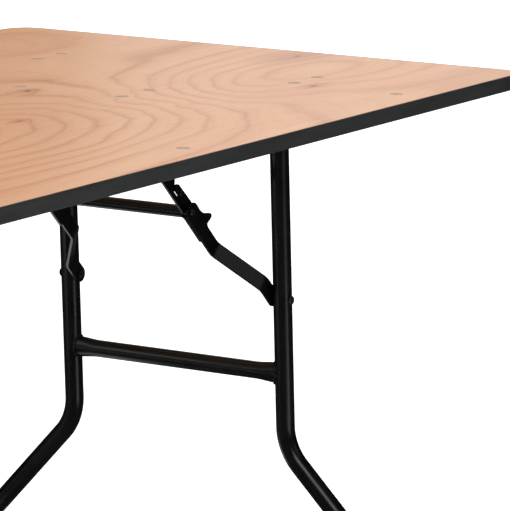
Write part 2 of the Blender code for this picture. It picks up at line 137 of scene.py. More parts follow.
def skin(rings: Sequence[Sequence[Vector]], wrap: bool, name: str) -> bpy.types.Mesh:
    """Joins rings of points into a skin.

    Args:
        rings: Closed rings with the same number of points each.
        wrap: Whether the last ring joins the first. Otherwise both ends get a flat face.
        name: Name of the new mesh.

    Returns:
        A closed mesh.
    """
    work = bmesh.new()
    made = [[work.verts.new(point) for point in ring] for ring in rings]
    count = len(rings[0])
    pairs = list(zip(made, made[1:])) + ([(made[-1], made[0])] if wrap else [])
    for first, second in pairs:
        for i in range(count):
            j = (i + 1) % count
            work.faces.new((first[i], first[j], second[j], second[i]))
    if not wrap:
        work.faces.new(made[0])
        work.faces.new(made[-1])
    return mesh_from(work, name)


def path_frames(points: Sequence[Vector], closed: bool = False) -> list[tuple[Vector, Vector]]:
    """Two directions across a path at each of its points, carried along without twist.

    Args:
        points: The path.
        closed: Whether the path is a loop.

    Returns:
        Pairs of unit vectors square to the path.
    """
    count = len(points)
    frames = []
    across = None
    for i, point in enumerate(points):
        before = points[i - 1] if i or closed else point
        after = points[(i + 1) % count] if i < count - 1 or closed else point
        along = (after - before).normalized()
        if across is None:
            helper = Vector((0.0, 1.0, 0.0)) if abs(along.y) < 0.8 else Vector((0.0, 0.0, 1.0))
            across = helper.cross(along).normalized()
        across = (across - along * across.dot(along)).normalized()
        frames.append((across, along.cross(across)))
    return frames


def hollow_tube(
    points: Sequence[Vector], radius: float, wall: float, sides: int, name: str
) -> bpy.types.Mesh:
    """A round tube with open ends.

    Args:
        points: Its centre line.
        radius: Outer radius.
        wall: Wall thickness.
        sides: Sides round it.
        name: Name of the new mesh.

    Returns:
        A closed mesh of the wall.
    """
    frames = path_frames(points)

    def ring(i: int, r: float) -> list[Vector]:
        """One ring of the wall.

        Args:
            i: Number of the centre line's point.
            r: Radius of the ring.

        Returns:
            The ring's points.
        """
        across, over = frames[i]
        turns = (TAU * k / sides for k in range(sides))
        return [points[i] + across * (r * math.cos(t)) + over * (r * math.sin(t)) for t in turns]

    outer = [ring(i, radius) for i in range(len(points))]
    inner = [ring(i, radius - wall) for i in reversed(range(len(points)))]
    return skin(outer + inner, True, name)


def turned(profile: Sequence[Point2], matrix: Matrix, steps: int, name: str) -> bpy.types.Mesh:
    """A solid turned about the matrix's Z axis.

    Args:
        profile: Radius and height pairs, from one pole to the other.
        matrix: Where the axis lies.
        steps: Sides round the axis.
        name: Name of the new mesh.

    Returns:
        A closed mesh.
    """
    turns = [TAU * k / steps for k in range(steps)]
    rings = [[matrix @ Vector((r * math.cos(t), r * math.sin(t), z)) for t in turns] for r, z in profile]
    work = bmesh.new()
    made = [[work.verts.new(point) for point in ring] for ring in rings]
    for first, second in zip(made, made[1:]):
        for i in range(steps):
            j = (i + 1) % steps
            work.faces.new((first[i], first[j], second[j], second[i]))
    return mesh_from(work, name)


def arc(centre: Point2, radius: float, start: float, end: float, steps: int) -> list[Point2]:
    """Points of a flat arc.

    Args:
        centre: Its centre.
        radius: Its radius.
        start: First angle, in degrees.
        end: Last angle, in degrees.
        steps: Number of straight pieces.

    Returns:
        steps + 1 points.
    """
    angles = [math.radians(start + (end - start) * i / steps) for i in range(steps + 1)]
    return [(centre[0] + radius * math.cos(t), centre[1] + radius * math.sin(t)) for t in angles]


def circle(centre: Point2, radius: float, steps: int = 24) -> list[Point2]:
    """The points of a full circle, with no point twice."""
    return arc(centre, radius, 0.0, 360.0, steps)[:-1]


def rounded_rectangle(half_x: float, half_y: float, radius: float, steps: int) -> list[Point2]:
    """A rectangle with round corners, about the origin.

    Args:
        half_x: Half its length.
        half_y: Half its width.
        radius: Corner radius.
        steps: Straight pieces in each corner.

    Returns:
        Its outline, anticlockwise.
    """
    points = []
    for quarter, (sign_x, sign_y) in enumerate(((1, 1), (-1, 1), (-1, -1), (1, -1))):
        centre = (sign_x * (half_x - radius), sign_y * (half_y - radius))
        points += arc(centre, radius, 90.0 * quarter, 90.0 * quarter + 90.0, steps)
    return points


def bent_path(corners: Sequence[Vector], radii: Sequence[float], steps: int) -> list[Vector]:
    """A path through corners that are rounded off.

    Args:
        corners: The corners and both ends.
        radii: A bend radius for each corner between the ends.
        steps: Straight pieces in each bend.

    Returns:
        The path's points.
    """
    points = [corners[0].copy()]
    for before, corner, after, radius in zip(corners, corners[1:], corners[2:], radii):
        back = (before - corner).normalized()
        ahead = (after - corner).normalized()
        half = back.angle(ahead) / 2
        centre = corner + (back + ahead).normalized() * (radius / math.sin(half))
        first = (corner + back * (radius / math.tan(half)) - centre).normalized()
        last = (corner + ahead * (radius / math.tan(half)) - centre).normalized()
        points += [centre + first.slerp(last, i / steps) * radius for i in range(steps + 1)]
    return points + [corners[-1].copy()]


def smooth_step(value: float, low: float, high: float) -> float:
    """A ramp from 0 at low to 1 at high, level at both ends."""
    share = min(max((value - low) / (high - low), 0.0), 1.0)
    return share * share * (3.0 - 2.0 * share)


def pressed_sheet(
    loops: Sequence[Sequence[Point2]],
    cuts: Iterable[tuple[Point2, Point2]],
    shape: Callable[[float, float], Vector],
    thickness: float,
    name: str,
) -> bpy.types.Mesh:
    """A blank cut from sheet metal, then bent.

    Args:
        loops: The flat blank's outline, then its holes.
        cuts: Lines across the blank, each a point and a direction square to it, where it may bend.
        shape: Where a point of the blank's middle surface goes.
        thickness: Sheet thickness.
        name: Name of the new mesh.

    Returns:
        A closed mesh.
    """
    curve = bpy.data.curves.new(name, "CURVE")
    curve.dimensions = "2D"
    curve.fill_mode = "BOTH"
    for points in loops:
        spline = curve.splines.new("POLY")
        spline.points.add(len(points) - 1)
        spline.use_cyclic_u = True
        for target, point in zip(spline.points, points):
            target.co = (point[0], point[1], 0.0, 1.0)
    blank = bpy.data.objects.new(name, curve)
    bpy.context.scene.collection.objects.link(blank)
    work = bmesh.new()
    work.from_mesh(evaluated_mesh(blank))
    bmesh.ops.remove_doubles(work, verts=work.verts, dist=1e-6)
    for point, normal in cuts:
        everything = work.verts[:] + work.edges[:] + work.faces[:]
        plane, square = (*point, 0.0), (*normal, 0.0)
        bmesh.ops.bisect_plane(work, geom=everything, plane_co=plane, plane_no=square, dist=1e-7)
    for vertex in work.verts:
        vertex.co = shape(vertex.co.x, vertex.co.y)
    sheet = bpy.data.meshes.new(name)
    work.to_mesh(sheet)
    work.free()
    return thickened(sheet, thickness, name)


def thickened(sheet: bpy.types.Mesh, thickness: float, name: str) -> bpy.types.Mesh:
    """A surface made into sheet metal, with half its thickness on each side.

    Args:
        sheet: The surface.
        thickness: The metal's thickness.
        name: Name of the new mesh.

    Returns:
        A closed mesh.
    """
    holder = bpy.data.objects.new(name, sheet)
    bpy.context.scene.collection.objects.link(holder)
    solidify = holder.modifiers.new("sheet", "SOLIDIFY")
    solidify.thickness = thickness
    solidify.offset = 0.0
    solidify.use_even_offset = True
    work = bmesh.new()
    work.from_mesh(evaluated_mesh(holder))
    return mesh_from(work, name)


def evaluated_mesh(obj: bpy.types.Object) -> bpy.types.Mesh:
    """The mesh an object makes with its modifiers.

    Args:
        obj: The object, which is removed.

    Returns:
        The new mesh.
    """
    bpy.context.view_layer.update()
    made = obj.evaluated_get(bpy.context.evaluated_depsgraph_get())
    mesh = bpy.data.meshes.new_from_object(made)
    bpy.data.objects.remove(obj, do_unlink=True)
    return mesh


def cut_away(mesh: bpy.types.Mesh, cutter: bpy.types.Mesh, name: str) -> bpy.types.Mesh:
    """The mesh with the cutter's solid taken out of it.

    Args:
        mesh: A closed mesh.
        cutter: Another closed mesh.
        name: Name of the new mesh.

    Returns:
        The mesh that is left.
    """
    body = bpy.data.objects.new(name, mesh)
    tool = bpy.data.objects.new(name + "_cutter", cutter)
    for obj in (body, tool):
        bpy.context.scene.collection.objects.link(obj)
    boolean = body.modifiers.new("cut", "BOOLEAN")
    boolean.object = tool
    boolean.solver = "EXACT"
    left = evaluated_mesh(body)
    bpy.data.objects.remove(tool, do_unlink=True)
    left.name = name
    return left


def joined(meshes: Iterable[bpy.types.Mesh], name: str) -> bpy.types.Mesh:
    """Several meshes as one mesh of separate shells.

    Args:
        meshes: The meshes.
        name: Name of the new mesh.

    Returns:
        The new mesh.
    """
    work = bmesh.new()
    for mesh in meshes:
        work.from_mesh(mesh)
    mesh = bpy.data.meshes.new(name)
    work.to_mesh(mesh)
    work.free()
    return mesh


def moved_copy(mesh: bpy.types.Mesh, matrix: Matrix) -> bpy.types.Mesh:
    """A copy of a mesh after a move.

    Args:
        mesh: The mesh.
        matrix: The move. Where it mirrors the mesh, the faces are turned outwards again.

    Returns:
        The copy.
    """
    copy = mesh.copy()
    copy.transform(matrix)
    if matrix.determinant() < 0:
        copy.flip_normals()
    return copy


# Finishes -------------------------------------------------------------------------------------------


class NodeSketch:
    """A material's node tree, written as short calls."""

    def __init__(self, name: str) -> None:
        """Starts a material.

        Args:
            name: The material's name.
        """
        self.material = bpy.data.materials.new(name)
        self.material.use_nodes = True
        self.tree = self.material.node_tree
        self.shader = self.tree.nodes["Principled BSDF"]
        self.coordinates = self.tree.nodes.new("ShaderNodeTexCoord").outputs["Object"]

    def link(self, source: bpy.types.NodeSocket, target: bpy.types.NodeSocket) -> None:
        """Links two sockets."""
        self.tree.links.new(source, target)

    def feed(self, socket: bpy.types.NodeSocket, value: object) -> None:
        """Sets a socket to a number, or links another socket to it.

        Args:
            socket: The socket that is fed.
            value: The number, or the other socket.
        """
        if isinstance(value, bpy.types.NodeSocket):
            self.link(value, socket)
        else:
            socket.default_value = value

    def scaled(
        self, scale: Sequence[float], source: bpy.types.NodeSocket | None = None
    ) -> bpy.types.NodeSocket:
        """The coordinates, or another vector, stretched along each axis.

        Args:
            scale: A factor for each axis.
            source: The vector, if it isn't the coordinates.

        Returns:
            The stretched vector's socket.
        """
        node = self.tree.nodes.new("ShaderNodeMapping")
        node.inputs["Scale"].default_value = scale
        self.link(source or self.coordinates, node.inputs["Vector"])
        return node.outputs["Vector"]

    def noise(
        self,
        vector: bpy.types.NodeSocket,
        scale: float,
        detail: float = 2.0,
        rough: float = 0.5,
        warp: float = 0.0,
    ) -> bpy.types.NodeSocket:
        """A noise value over a vector.

        Args:
            vector: Where it is read.
            scale: Its scale.
            detail: Octaves.
            rough: Strength of the finer octaves.
            warp: Distortion.

        Returns:
            The value's socket.
        """
        node = self.tree.nodes.new("ShaderNodeTexNoise")
        self.link(vector, node.inputs["Vector"])
        node.inputs["Scale"].default_value = scale
        node.inputs["Detail"].default_value = detail
        node.inputs["Roughness"].default_value = rough
        node.inputs["Distortion"].default_value = warp
        return node.outputs["Fac"]

    def cells(self, vector: bpy.types.NodeSocket, scale: float) -> bpy.types.NodeSocket:
        """The distance to the nearest of many scattered points.

        Args:
            vector: Where it is measured.
            scale: How densely the points lie.

        Returns:
            The distance's socket.
        """
        node = self.tree.nodes.new("ShaderNodeTexVoronoi")
        self.link(vector, node.inputs["Vector"])
        node.inputs["Scale"].default_value = scale
        return node.outputs["Distance"]

    def maths(self, operation: str, *values: object) -> bpy.types.NodeSocket:
        """A sum of one to three values.

        Args:
            operation: The kind of sum.
            *values: Numbers or sockets.

        Returns:
            The result's socket.
        """
        node = self.tree.nodes.new("ShaderNodeMath")
        node.operation = operation
        for socket, value in zip(node.inputs, values):
            self.feed(socket, value)
        return node.outputs["Value"]

    def vector(self, operation: str, *values: object) -> bpy.types.NodeSocket:
        """A sum of vectors.

        Args:
            operation: The kind of sum.
            *values: Triples or sockets.

        Returns:
            The result's socket, which is a number for a length or a dot product.
        """
        node = self.tree.nodes.new("ShaderNodeVectorMath")
        node.operation = operation
        for socket, value in zip(node.inputs, values):
            self.feed(socket, value)
        return node.outputs["Value" if operation in ("DOT_PRODUCT", "LENGTH") else "Vector"]

    def split(self, vector: bpy.types.NodeSocket) -> bpy.types.NodeOutputs:
        """A vector's three parts.

        Args:
            vector: The vector.

        Returns:
            Sockets named X, Y and Z.
        """
        node = self.tree.nodes.new("ShaderNodeSeparateXYZ")
        self.link(vector, node.inputs["Vector"])
        return node.outputs

    def ramp(
        self, value: bpy.types.NodeSocket, stops: Sequence[tuple[float, Colour]]
    ) -> bpy.types.NodeSocket:
        """A colour ramp.

        Args:
            value: What it reads.
            stops: Places and colours, in order.

        Returns:
            The colour's socket.
        """
        node = self.tree.nodes.new("ShaderNodeValToRGB")
        self.link(value, node.inputs["Fac"])
        elements = node.color_ramp.elements
        while len(elements) < len(stops):
            elements.new(1.0)
        for element, (place, colour) in zip(elements, stops):
            element.position = place
            element.color = (*colour, 1.0)
        return node.outputs["Color"]

    def spread(
        self, value: bpy.types.NodeSocket, low: float, high: float, to: Point2
    ) -> bpy.types.NodeSocket:
        """A value carried from one range to another, held at its ends.

        Args:
            value: The value.
            low: Where the first range starts.
            high: Where it ends.
            to: Start and end of the second range.

        Returns:
            The result's socket.
        """
        node = self.tree.nodes.new("ShaderNodeMapRange")
        self.link(value, node.inputs["Value"])
        node.inputs["From Min"].default_value = low
        node.inputs["From Max"].default_value = high
        node.inputs["To Min"].default_value = to[0]
        node.inputs["To Max"].default_value = to[1]
        return node.outputs["Result"]

    def mix(
        self, share: object, first: object, second: object, blend: str = "MIX"
    ) -> bpy.types.NodeSocket:
        """A mix of two colours.

        Args:
            share: How much of the second, a number or a socket.
            first: A colour or a socket.
            second: A colour or a socket.
            blend: The way they mix.

        Returns:
            The colour's socket.
        """
        node = self.tree.nodes.new("ShaderNodeMix")
        node.data_type = "RGBA"
        node.blend_type = blend
        self.feed(node.inputs[0], share)
        for socket, value in ((node.inputs[6], first), (node.inputs[7], second)):
            self.feed(socket, (*value, 1.0) if isinstance(value, tuple) and len(value) == 3 else value)
        return node.outputs[2]

    def bump(self, height: bpy.types.NodeSocket, strength: float, distance: float) -> None:
        """Feeds a height to the shader's normal.

        Args:
            height: The height.
            strength: How much of it shows.
            distance: Height of a full step, in metres.
        """
        node = self.tree.nodes.new("ShaderNodeBump")
        node.inputs["Strength"].default_value = strength
        node.inputs["Distance"].default_value = distance
        self.link(height, node.inputs["Height"])
        self.link(node.outputs["Normal"], self.shader.inputs["Normal"])


@dataclass(frozen=True)
class Knot:
    """A knot in the veneer."""

    x: float
    y: float
    radius: float
    stain: float
    depth: float


@dataclass(frozen=True)
class Swell:
    """A rise of the log's surface, which the knife opens into closed figure lines."""

    x: float
    y: float
    long: float
    wide: float
    height: float


@dataclass(frozen=True)
class VeneerFinish:
    """Clear-coated rotary-cut veneer, plain on the underside, with plies on the cut edges."""

    pale: Colour = (0.842, 0.463, 0.258)
    middle: Colour = (0.765, 0.380, 0.198)
    line: Colour = (0.580, 0.245, 0.112)
    red: Colour = (0.520, 0.185, 0.105)
    bark: Colour = (0.070, 0.022, 0.014)
    back: Colour = (0.30, 0.21, 0.14)
    rings: float = 5.2
    knots: tuple[Knot, ...] = (
        Knot(0.762, 0.044, 0.0048, 0.012, 1.0),
        Knot(0.572, -0.078, 0.0045, 0.012, 1.0),
        Knot(1.178, -0.074, 0.0060, 0.050, 0.75),
        Knot(0.978, -0.221, 0.0075, 0.016, 0.55),
        Knot(-0.310, 0.150, 0.0055, 0.020, 1.0),
        Knot(-0.905, -0.190, 0.0050, 0.018, 1.0),
    )
    swells: tuple[Swell, ...] = (
        Swell(0.460, -0.100, 0.215, 0.118, 1.25),
        Swell(1.075, -0.145, 0.200, 0.088, -1.15),
        Swell(1.000, 0.330, 0.300, 0.100, -0.60),
        Swell(0.060, 0.270, 0.260, 0.090, -0.90),
        Swell(-0.400, -0.060, 0.280, 0.110, -1.10),
        Swell(-0.940, 0.150, 0.220, 0.100, 1.20),
        Swell(-0.900, -0.280, 0.260, 0.070, -0.80),
    )

    def material(self) -> bpy.types.Material:
        """Makes the material.

        Returns:
            The material.
        """
        sketch = NodeSketch("veneer")
        at = sketch.coordinates
        axes = sketch.split(at)
        figure = self.figure(sketch)
        turns = sketch.maths("FRACT", sketch.maths("MULTIPLY", figure, self.rings))
        late = sketch.ramp(
            turns,
            (
                (0.0, self.middle),
                (0.12, self.pale),
                (0.50, self.pale),
                (0.78, self.middle),
                (0.90, self.line),
                (1.0, self.middle),
            ),
        )
        fine = sketch.maths("FRACT", sketch.maths("MULTIPLY", figure, self.rings * 3.7))
        thin = sketch.ramp(fine, ((0.0, self.pale), (0.70, self.pale), (0.92, self.line), (1.0, self.pale)))
        cloud = sketch.noise(sketch.scaled((1.5, 5.0, 1.0)), 1.0, 3.0, 0.6)
        base = sketch.mix(sketch.spread(cloud, 0.38, 0.66, (0.15, 1.0)), self.pale, self.middle)
        strength = sketch.noise(sketch.scaled((2.2, 6.0, 1.0)), 1.0, 2.0, 0.5)
        ringed = sketch.mix(sketch.spread(strength, 0.32, 0.66, (0.20, 0.72)), base, late)
        ringed = sketch.mix(sketch.spread(strength, 0.70, 0.35, (0.05, 0.22)), ringed, thin)
        fibre = sketch.noise(sketch.scaled((10.0, 380.0, 1.0)), 1.0, 3.0, 0.6)
        fibred = sketch.mix(sketch.spread(fibre, 0.50, 0.74, (0.0, 0.22)), ringed, self.line)
        stain, eye = self.knot_masks(sketch)
        stained = sketch.mix(stain, fibred, self.red)
        knotted = sketch.mix(eye, stained, self.bark)
        up = sketch.split(sketch.tree.nodes.new("ShaderNodeNewGeometry").outputs["True Normal"])["Z"]
        plies = sketch.ramp(
            sketch.maths("FRACT", sketch.maths("MULTIPLY", axes["Z"], 277.0)),
            ((0.0, self.middle), (0.48, self.middle), (0.52, self.line), (1.0, self.line)),
        )
        under = sketch.mix(0.8, fibred, self.back)
        side = sketch.mix(sketch.spread(up, -0.6, -0.4, (1.0, 0.0)), plies, under)
        colour = sketch.mix(sketch.spread(up, 0.4, 0.6, (0.0, 1.0)), side, knotted)
        sketch.link(colour, sketch.shader.inputs["Base Color"])
        sketch.link(sketch.spread(fibre, 0.3, 0.8, (0.34, 0.48)), sketch.shader.inputs["Roughness"])
        sketch.shader.inputs["Coat Weight"].default_value = 0.2
        sketch.shader.inputs["Coat Roughness"].default_value = 0.25
        sketch.bump(fibre, 0.10, 0.0004)
        return sketch.material

    def figure(self, sketch: NodeSketch) -> bpy.types.NodeSocket:
        """The height of the log's surface, whose level lines are the veneer's figure.

        Args:
            sketch: The material being made.

        Returns:
            The height's socket.
        """
        wobble = sketch.tree.nodes.new("ShaderNodeTexNoise")
        sketch.link(sketch.scaled((3.2, 8.0, 1.0)), wobble.inputs["Vector"])
        wobble.inputs["Scale"].default_value = 1.0
        wobble.inputs["Detail"].default_value = 3.0
        shift = sketch.vector("SUBTRACT", wobble.outputs["Color"], (0.5, 0.5, 0.5))
        drift = sketch.vector("MULTIPLY", shift, (0.13, 0.055, 0.0))
        warped = sketch.vector("ADD", sketch.coordinates, drift)
        jag = sketch.noise(sketch.scaled((14.0, 46.0, 0.0)), 1.0, 3.0, 0.6)
        height = sketch.maths(
            "MULTIPLY", sketch.noise(sketch.scaled((0.9, 2.6, 0.0)), 1.0, 2.0, 0.45), 0.70
        )
        height = sketch.maths("ADD", height, sketch.maths("MULTIPLY", jag, 0.024))
        slope = sketch.vector("DOT_PRODUCT", warped, (-0.35, 1.40, 0.0))
        height = sketch.maths("ADD", height, slope)
        for swell in self.swells:
            offset = sketch.vector("SUBTRACT", warped, (swell.x, swell.y, 0.0))
            scaled = sketch.vector("MULTIPLY", offset, (1.0 / swell.long, 1.0 / swell.wide, 0.0))
            fall = sketch.maths("MULTIPLY", sketch.vector("DOT_PRODUCT", scaled, scaled), -0.5)
            rise = sketch.maths("MULTIPLY", sketch.maths("POWER", math.e, fall), swell.height)
            height = sketch.maths("ADD", height, rise)
        for knot in self.knots:
            gap = self.distance(sketch, knot)
            rise = sketch.maths("POWER", math.e, sketch.maths("MULTIPLY", gap, -0.25 / knot.radius))
            height = sketch.maths("ADD", height, sketch.maths("MULTIPLY", rise, 0.22))
        return height

    def knot_masks(self, sketch: NodeSketch) -> tuple[bpy.types.NodeSocket, bpy.types.NodeSocket]:
        """Where the knots' stains and their dark eyes are.

        Args:
            sketch: The material being made.

        Returns:
            The stain's socket and the eye's socket.
        """
        stain = eye = None
        ragged = sketch.noise(sketch.scaled((40.0, 120.0, 1.0)), 1.0, 2.0, 0.6)
        for knot in self.knots:
            gap = self.distance(sketch, knot)
            rough = sketch.maths("ADD", gap, sketch.maths("MULTIPLY", ragged, knot.radius * 1.2))
            spot = sketch.spread(rough, knot.radius * 0.75, knot.radius * 1.25, (knot.depth, 0.0))
            halo = sketch.spread(rough, knot.radius, knot.radius + knot.stain, (0.62, 0.0))
            eye = sketch.maths("MAXIMUM", eye, spot) if eye else spot
            stain = sketch.maths("MAXIMUM", stain, halo) if stain else halo
        return stain, eye

    @staticmethod
    def distance(sketch: NodeSketch, knot: Knot) -> bpy.types.NodeSocket:
        """The distance to a knot, shortened along the grain.

        Args:
            sketch: The material being made.
            knot: The knot.

        Returns:
            The distance's socket.
        """
        offset = sketch.vector("SUBTRACT", sketch.coordinates, (knot.x, knot.y, 0.0))
        return sketch.vector("LENGTH", sketch.vector("MULTIPLY", offset, (0.5, 1.0, 0.0)))


@dataclass(frozen=True)
class MouldingFinish:
    """Dark satin vinyl with a fine pressed grain and faint rub marks."""

    dark: Colour = (0.0180, 0.0188, 0.0190)
    light: Colour = (0.0310, 0.0320, 0.0323)
    rubbed: Colour = (0.052, 0.054, 0.054)

    def material(self) -> bpy.types.Material:
        """Makes the material.

        Returns:
            The material.
        """
        sketch = NodeSketch("edge_vinyl")
        mottle = sketch.noise(sketch.scaled((6.0, 6.0, 40.0)), 1.0, 4.0, 0.65)
        rub = sketch.noise(sketch.scaled((18.0, 18.0, 420.0)), 1.0, 3.0, 0.7)
        colour = sketch.ramp(mottle, ((0.3, self.dark), (0.7, self.light)))
        worn = sketch.mix(sketch.spread(rub, 0.62, 0.80, (0.0, 0.30)), colour, self.rubbed)
        sketch.link(worn, sketch.shader.inputs["Base Color"])
        sketch.link(sketch.spread(rub, 0.3, 0.8, (0.38, 0.56)), sketch.shader.inputs["Roughness"])
        sketch.shader.inputs["Specular IOR Level"].default_value = 0.4
        grain = sketch.cells(sketch.coordinates, 1400.0)
        sketch.bump(grain, 0.16, 0.0003)
        return sketch.material


@dataclass(frozen=True)
class PowderCoatFinish:
    """Semi-gloss black powder coat with an orange-peel surface and a few dusty scuffs."""

    name: str = "powder_coat"
    peel: float = 420.0
    depth: float = 0.22
    black: Colour = (0.0022, 0.0022, 0.0023)
    soft: Colour = (0.0055, 0.0055, 0.0057)
    dust: Colour = (0.028, 0.027, 0.026)

    def material(self) -> bpy.types.Material:
        """Makes the material.

        Returns:
            The material.
        """
        sketch = NodeSketch(self.name)
        cloud = sketch.noise(sketch.coordinates, 14.0, 3.0, 0.6)
        scuff = sketch.noise(sketch.scaled((160.0, 160.0, 26.0)), 1.0, 3.0, 0.75)
        colour = sketch.ramp(cloud, ((0.35, self.black), (0.75, self.soft)))
        dusty = sketch.mix(sketch.spread(scuff, 0.70, 0.86, (0.0, 0.5)), colour, self.dust)
        sketch.link(dusty, sketch.shader.inputs["Base Color"])
        sketch.link(sketch.spread(cloud, 0.3, 0.75, (0.24, 0.36)), sketch.shader.inputs["Roughness"])
        sketch.shader.inputs["Specular IOR Level"].default_value = 0.35
        sketch.bump(sketch.noise(sketch.coordinates, self.peel, 2.0, 0.5), self.depth, 0.0004)
        return sketch.material


@dataclass(frozen=True)
class PlasticFinish:
    """Matt black moulded plastic, greyed by the floor near its foot."""

    black: Colour = (0.0075, 0.0075, 0.0075)
    speck: Colour = (0.014, 0.014, 0.014)
    grey: Colour = (0.050, 0.048, 0.045)

    def material(self) -> bpy.types.Material:
        """Makes the material.

        Returns:
            The material.
        """
        sketch = NodeSketch("foot_plastic")
        height = sketch.split(sketch.coordinates)["Z"]
        speck = sketch.noise(sketch.coordinates, 240.0, 3.0, 0.7)
        dust = sketch.maths("MULTIPLY", sketch.spread(height, 0.0, 0.012, (0.8, 0.0)), speck)
        plain = sketch.ramp(speck, ((0.3, self.black), (0.8, self.speck)))
        colour = sketch.mix(dust, plain, self.grey)
        sketch.link(colour, sketch.shader.inputs["Base Color"])
        sketch.link(sketch.spread(speck, 0.3, 0.7, (0.48, 0.62)), sketch.shader.inputs["Roughness"])
        sketch.bump(sketch.noise(sketch.coordinates, 1500.0, 2.0, 0.5), 0.15, 0.0003)
        return sketch.material


@dataclass(frozen=True)
class SteelFinish:
    """Bare or thinly coated steel with turning marks and dull patches."""

    name: str
    dark: Colour
    bright: Colour
    rough: Point2
    metallic: float

    def material(self) -> bpy.types.Material:
        """Makes the material.

        Returns:
            The material.
        """
        sketch = NodeSketch(self.name)
        patch = sketch.noise(sketch.coordinates, 220.0, 4.0, 0.65)
        fine = sketch.noise(sketch.coordinates, 1800.0, 2.0, 0.6)
        colour = sketch.ramp(patch, ((0.3, self.dark), (0.72, self.bright)))
        sketch.link(colour, sketch.shader.inputs["Base Color"])
        sketch.shader.inputs["Metallic"].default_value = self.metallic
        sketch.link(sketch.spread(patch, 0.3, 0.75, self.rough), sketch.shader.inputs["Roughness"])
        sketch.bump(fine, 0.12, 0.0002)
        return sketch.material


@dataclass(frozen=True)
class FloorFinish:
    """A plain pale studio floor."""

    pale: Colour = (0.90, 0.90, 0.90)
    light: Colour = (0.92, 0.92, 0.92)

    def material(self) -> bpy.types.Material:
        """Makes the material.

        Returns:
            The material.
        """
        sketch = NodeSketch("studio_floor")
        tone = sketch.noise(sketch.coordinates, 0.4, 1.0, 0.5)
        colour = sketch.ramp(tone, ((0.0, self.pale), (1.0, self.light)))
        sketch.link(colour, sketch.shader.inputs["Base Color"])
        sketch.shader.inputs["Roughness"].default_value = 0.9
        sketch.shader.inputs["Emission Color"].default_value = (1.0, 1.0, 1.0, 1.0)
        sketch.shader.inputs["Emission Strength"].default_value = 0.50
        return sketch.material


DULL_ZINC = SteelFinish("dull_zinc", (0.36, 0.335, 0.275), (0.50, 0.470, 0.395), (0.40, 0.58), 0.12)
BLACK_RIVET = SteelFinish("black_rivet", (0.006, 0.006, 0.006), (0.020, 0.020, 0.020), (0.22, 0.40), 0.35)


@dataclass
class Finishes:
    """Every finish of the table, made once."""

    veneer: bpy.types.Material = field(default_factory=VeneerFinish().material)
    moulding: bpy.types.Material = field(default_factory=MouldingFinish().material)
    powder: bpy.types.Material = field(default_factory=PowderCoatFinish().material)
    weld: bpy.types.Material = field(default_factory=PowderCoatFinish("coated_weld", 900.0, 0.5).material)
    plastic: bpy.types.Material = field(default_factory=PlasticFinish().material)
    zinc: bpy.types.Material = field(default_factory=DULL_ZINC.material)
    rivet: bpy.types.Material = field(default_factory=BLACK_RIVET.material)


# The frame's places ---------------------------------------------------------------------------------


@dataclass(frozen=True)
class Places:
    """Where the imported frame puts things, at the right-hand side of end a."""

    half_length: float
    half_width: float
    top: float
    underside: float
    pivot: Vector
    brace_pivot: Vector
    leg_rivet: Vector
    knuckle: Vector
    leg_side: float
    foot_side: float

    @classmethod
    def read(cls, frame: dict, leg_radius: float) -> "Places":
        """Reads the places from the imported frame.

        Args:
            leg_radius: Radius of a leg tube.

        Returns:
            The places.
        """
        low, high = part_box("edge_moulding")
        leg_low, leg_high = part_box("leg_tube_right_a")
        rivet_low, rivet_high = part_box("leg_rivet_right_a")
        rivet = (rivet_low + rivet_high) / 2
        joints = {joint["name"]: Vector(joint["pos_m"]) for joint in frame["joints"]}
        return cls(
            half_length=high.x,
            half_width=high.y,
            top=high.z,
            underside=low.z,
            pivot=joints["leg_fold_a"],
            brace_pivot=joints["upper_brace_fold_a"],
            leg_rivet=Vector((rivet.x, 0.0, rivet.z)),
            knuckle=joints["lower_brace_fold_a"],
            leg_side=-leg_high.y + leg_radius,
            foot_side=-leg_low.y - leg_radius,
        )

    @property
    def lean(self) -> float:
        """How far the leg plane moves outwards for each metre down."""
        return (self.leg_rivet.x - self.pivot.x) / (self.pivot.z - self.leg_rivet.z)

    @property
    def bar(self) -> Vector:
        """Direction of the straight brace, from the table to the leg."""
        return (self.leg_rivet - self.brace_pivot).normalized()

    @property
    def bar_across(self) -> Vector:
        """Direction square to the brace, upwards and towards the end of the table."""
        return Vector((-self.bar.z, 0.0, self.bar.x))

    def on_leg(self, z: float, side: float = 0.0) -> Vector:
        """A point of the leaning leg plane, from its height and its distance to the right."""
        return Vector((self.pivot.x + self.lean * (self.pivot.z - z), -side, z))

    def from_end(self, inwards: float) -> float:
        """The x of a point that is this far inwards from the end of the table."""
        return self.half_length - inwards


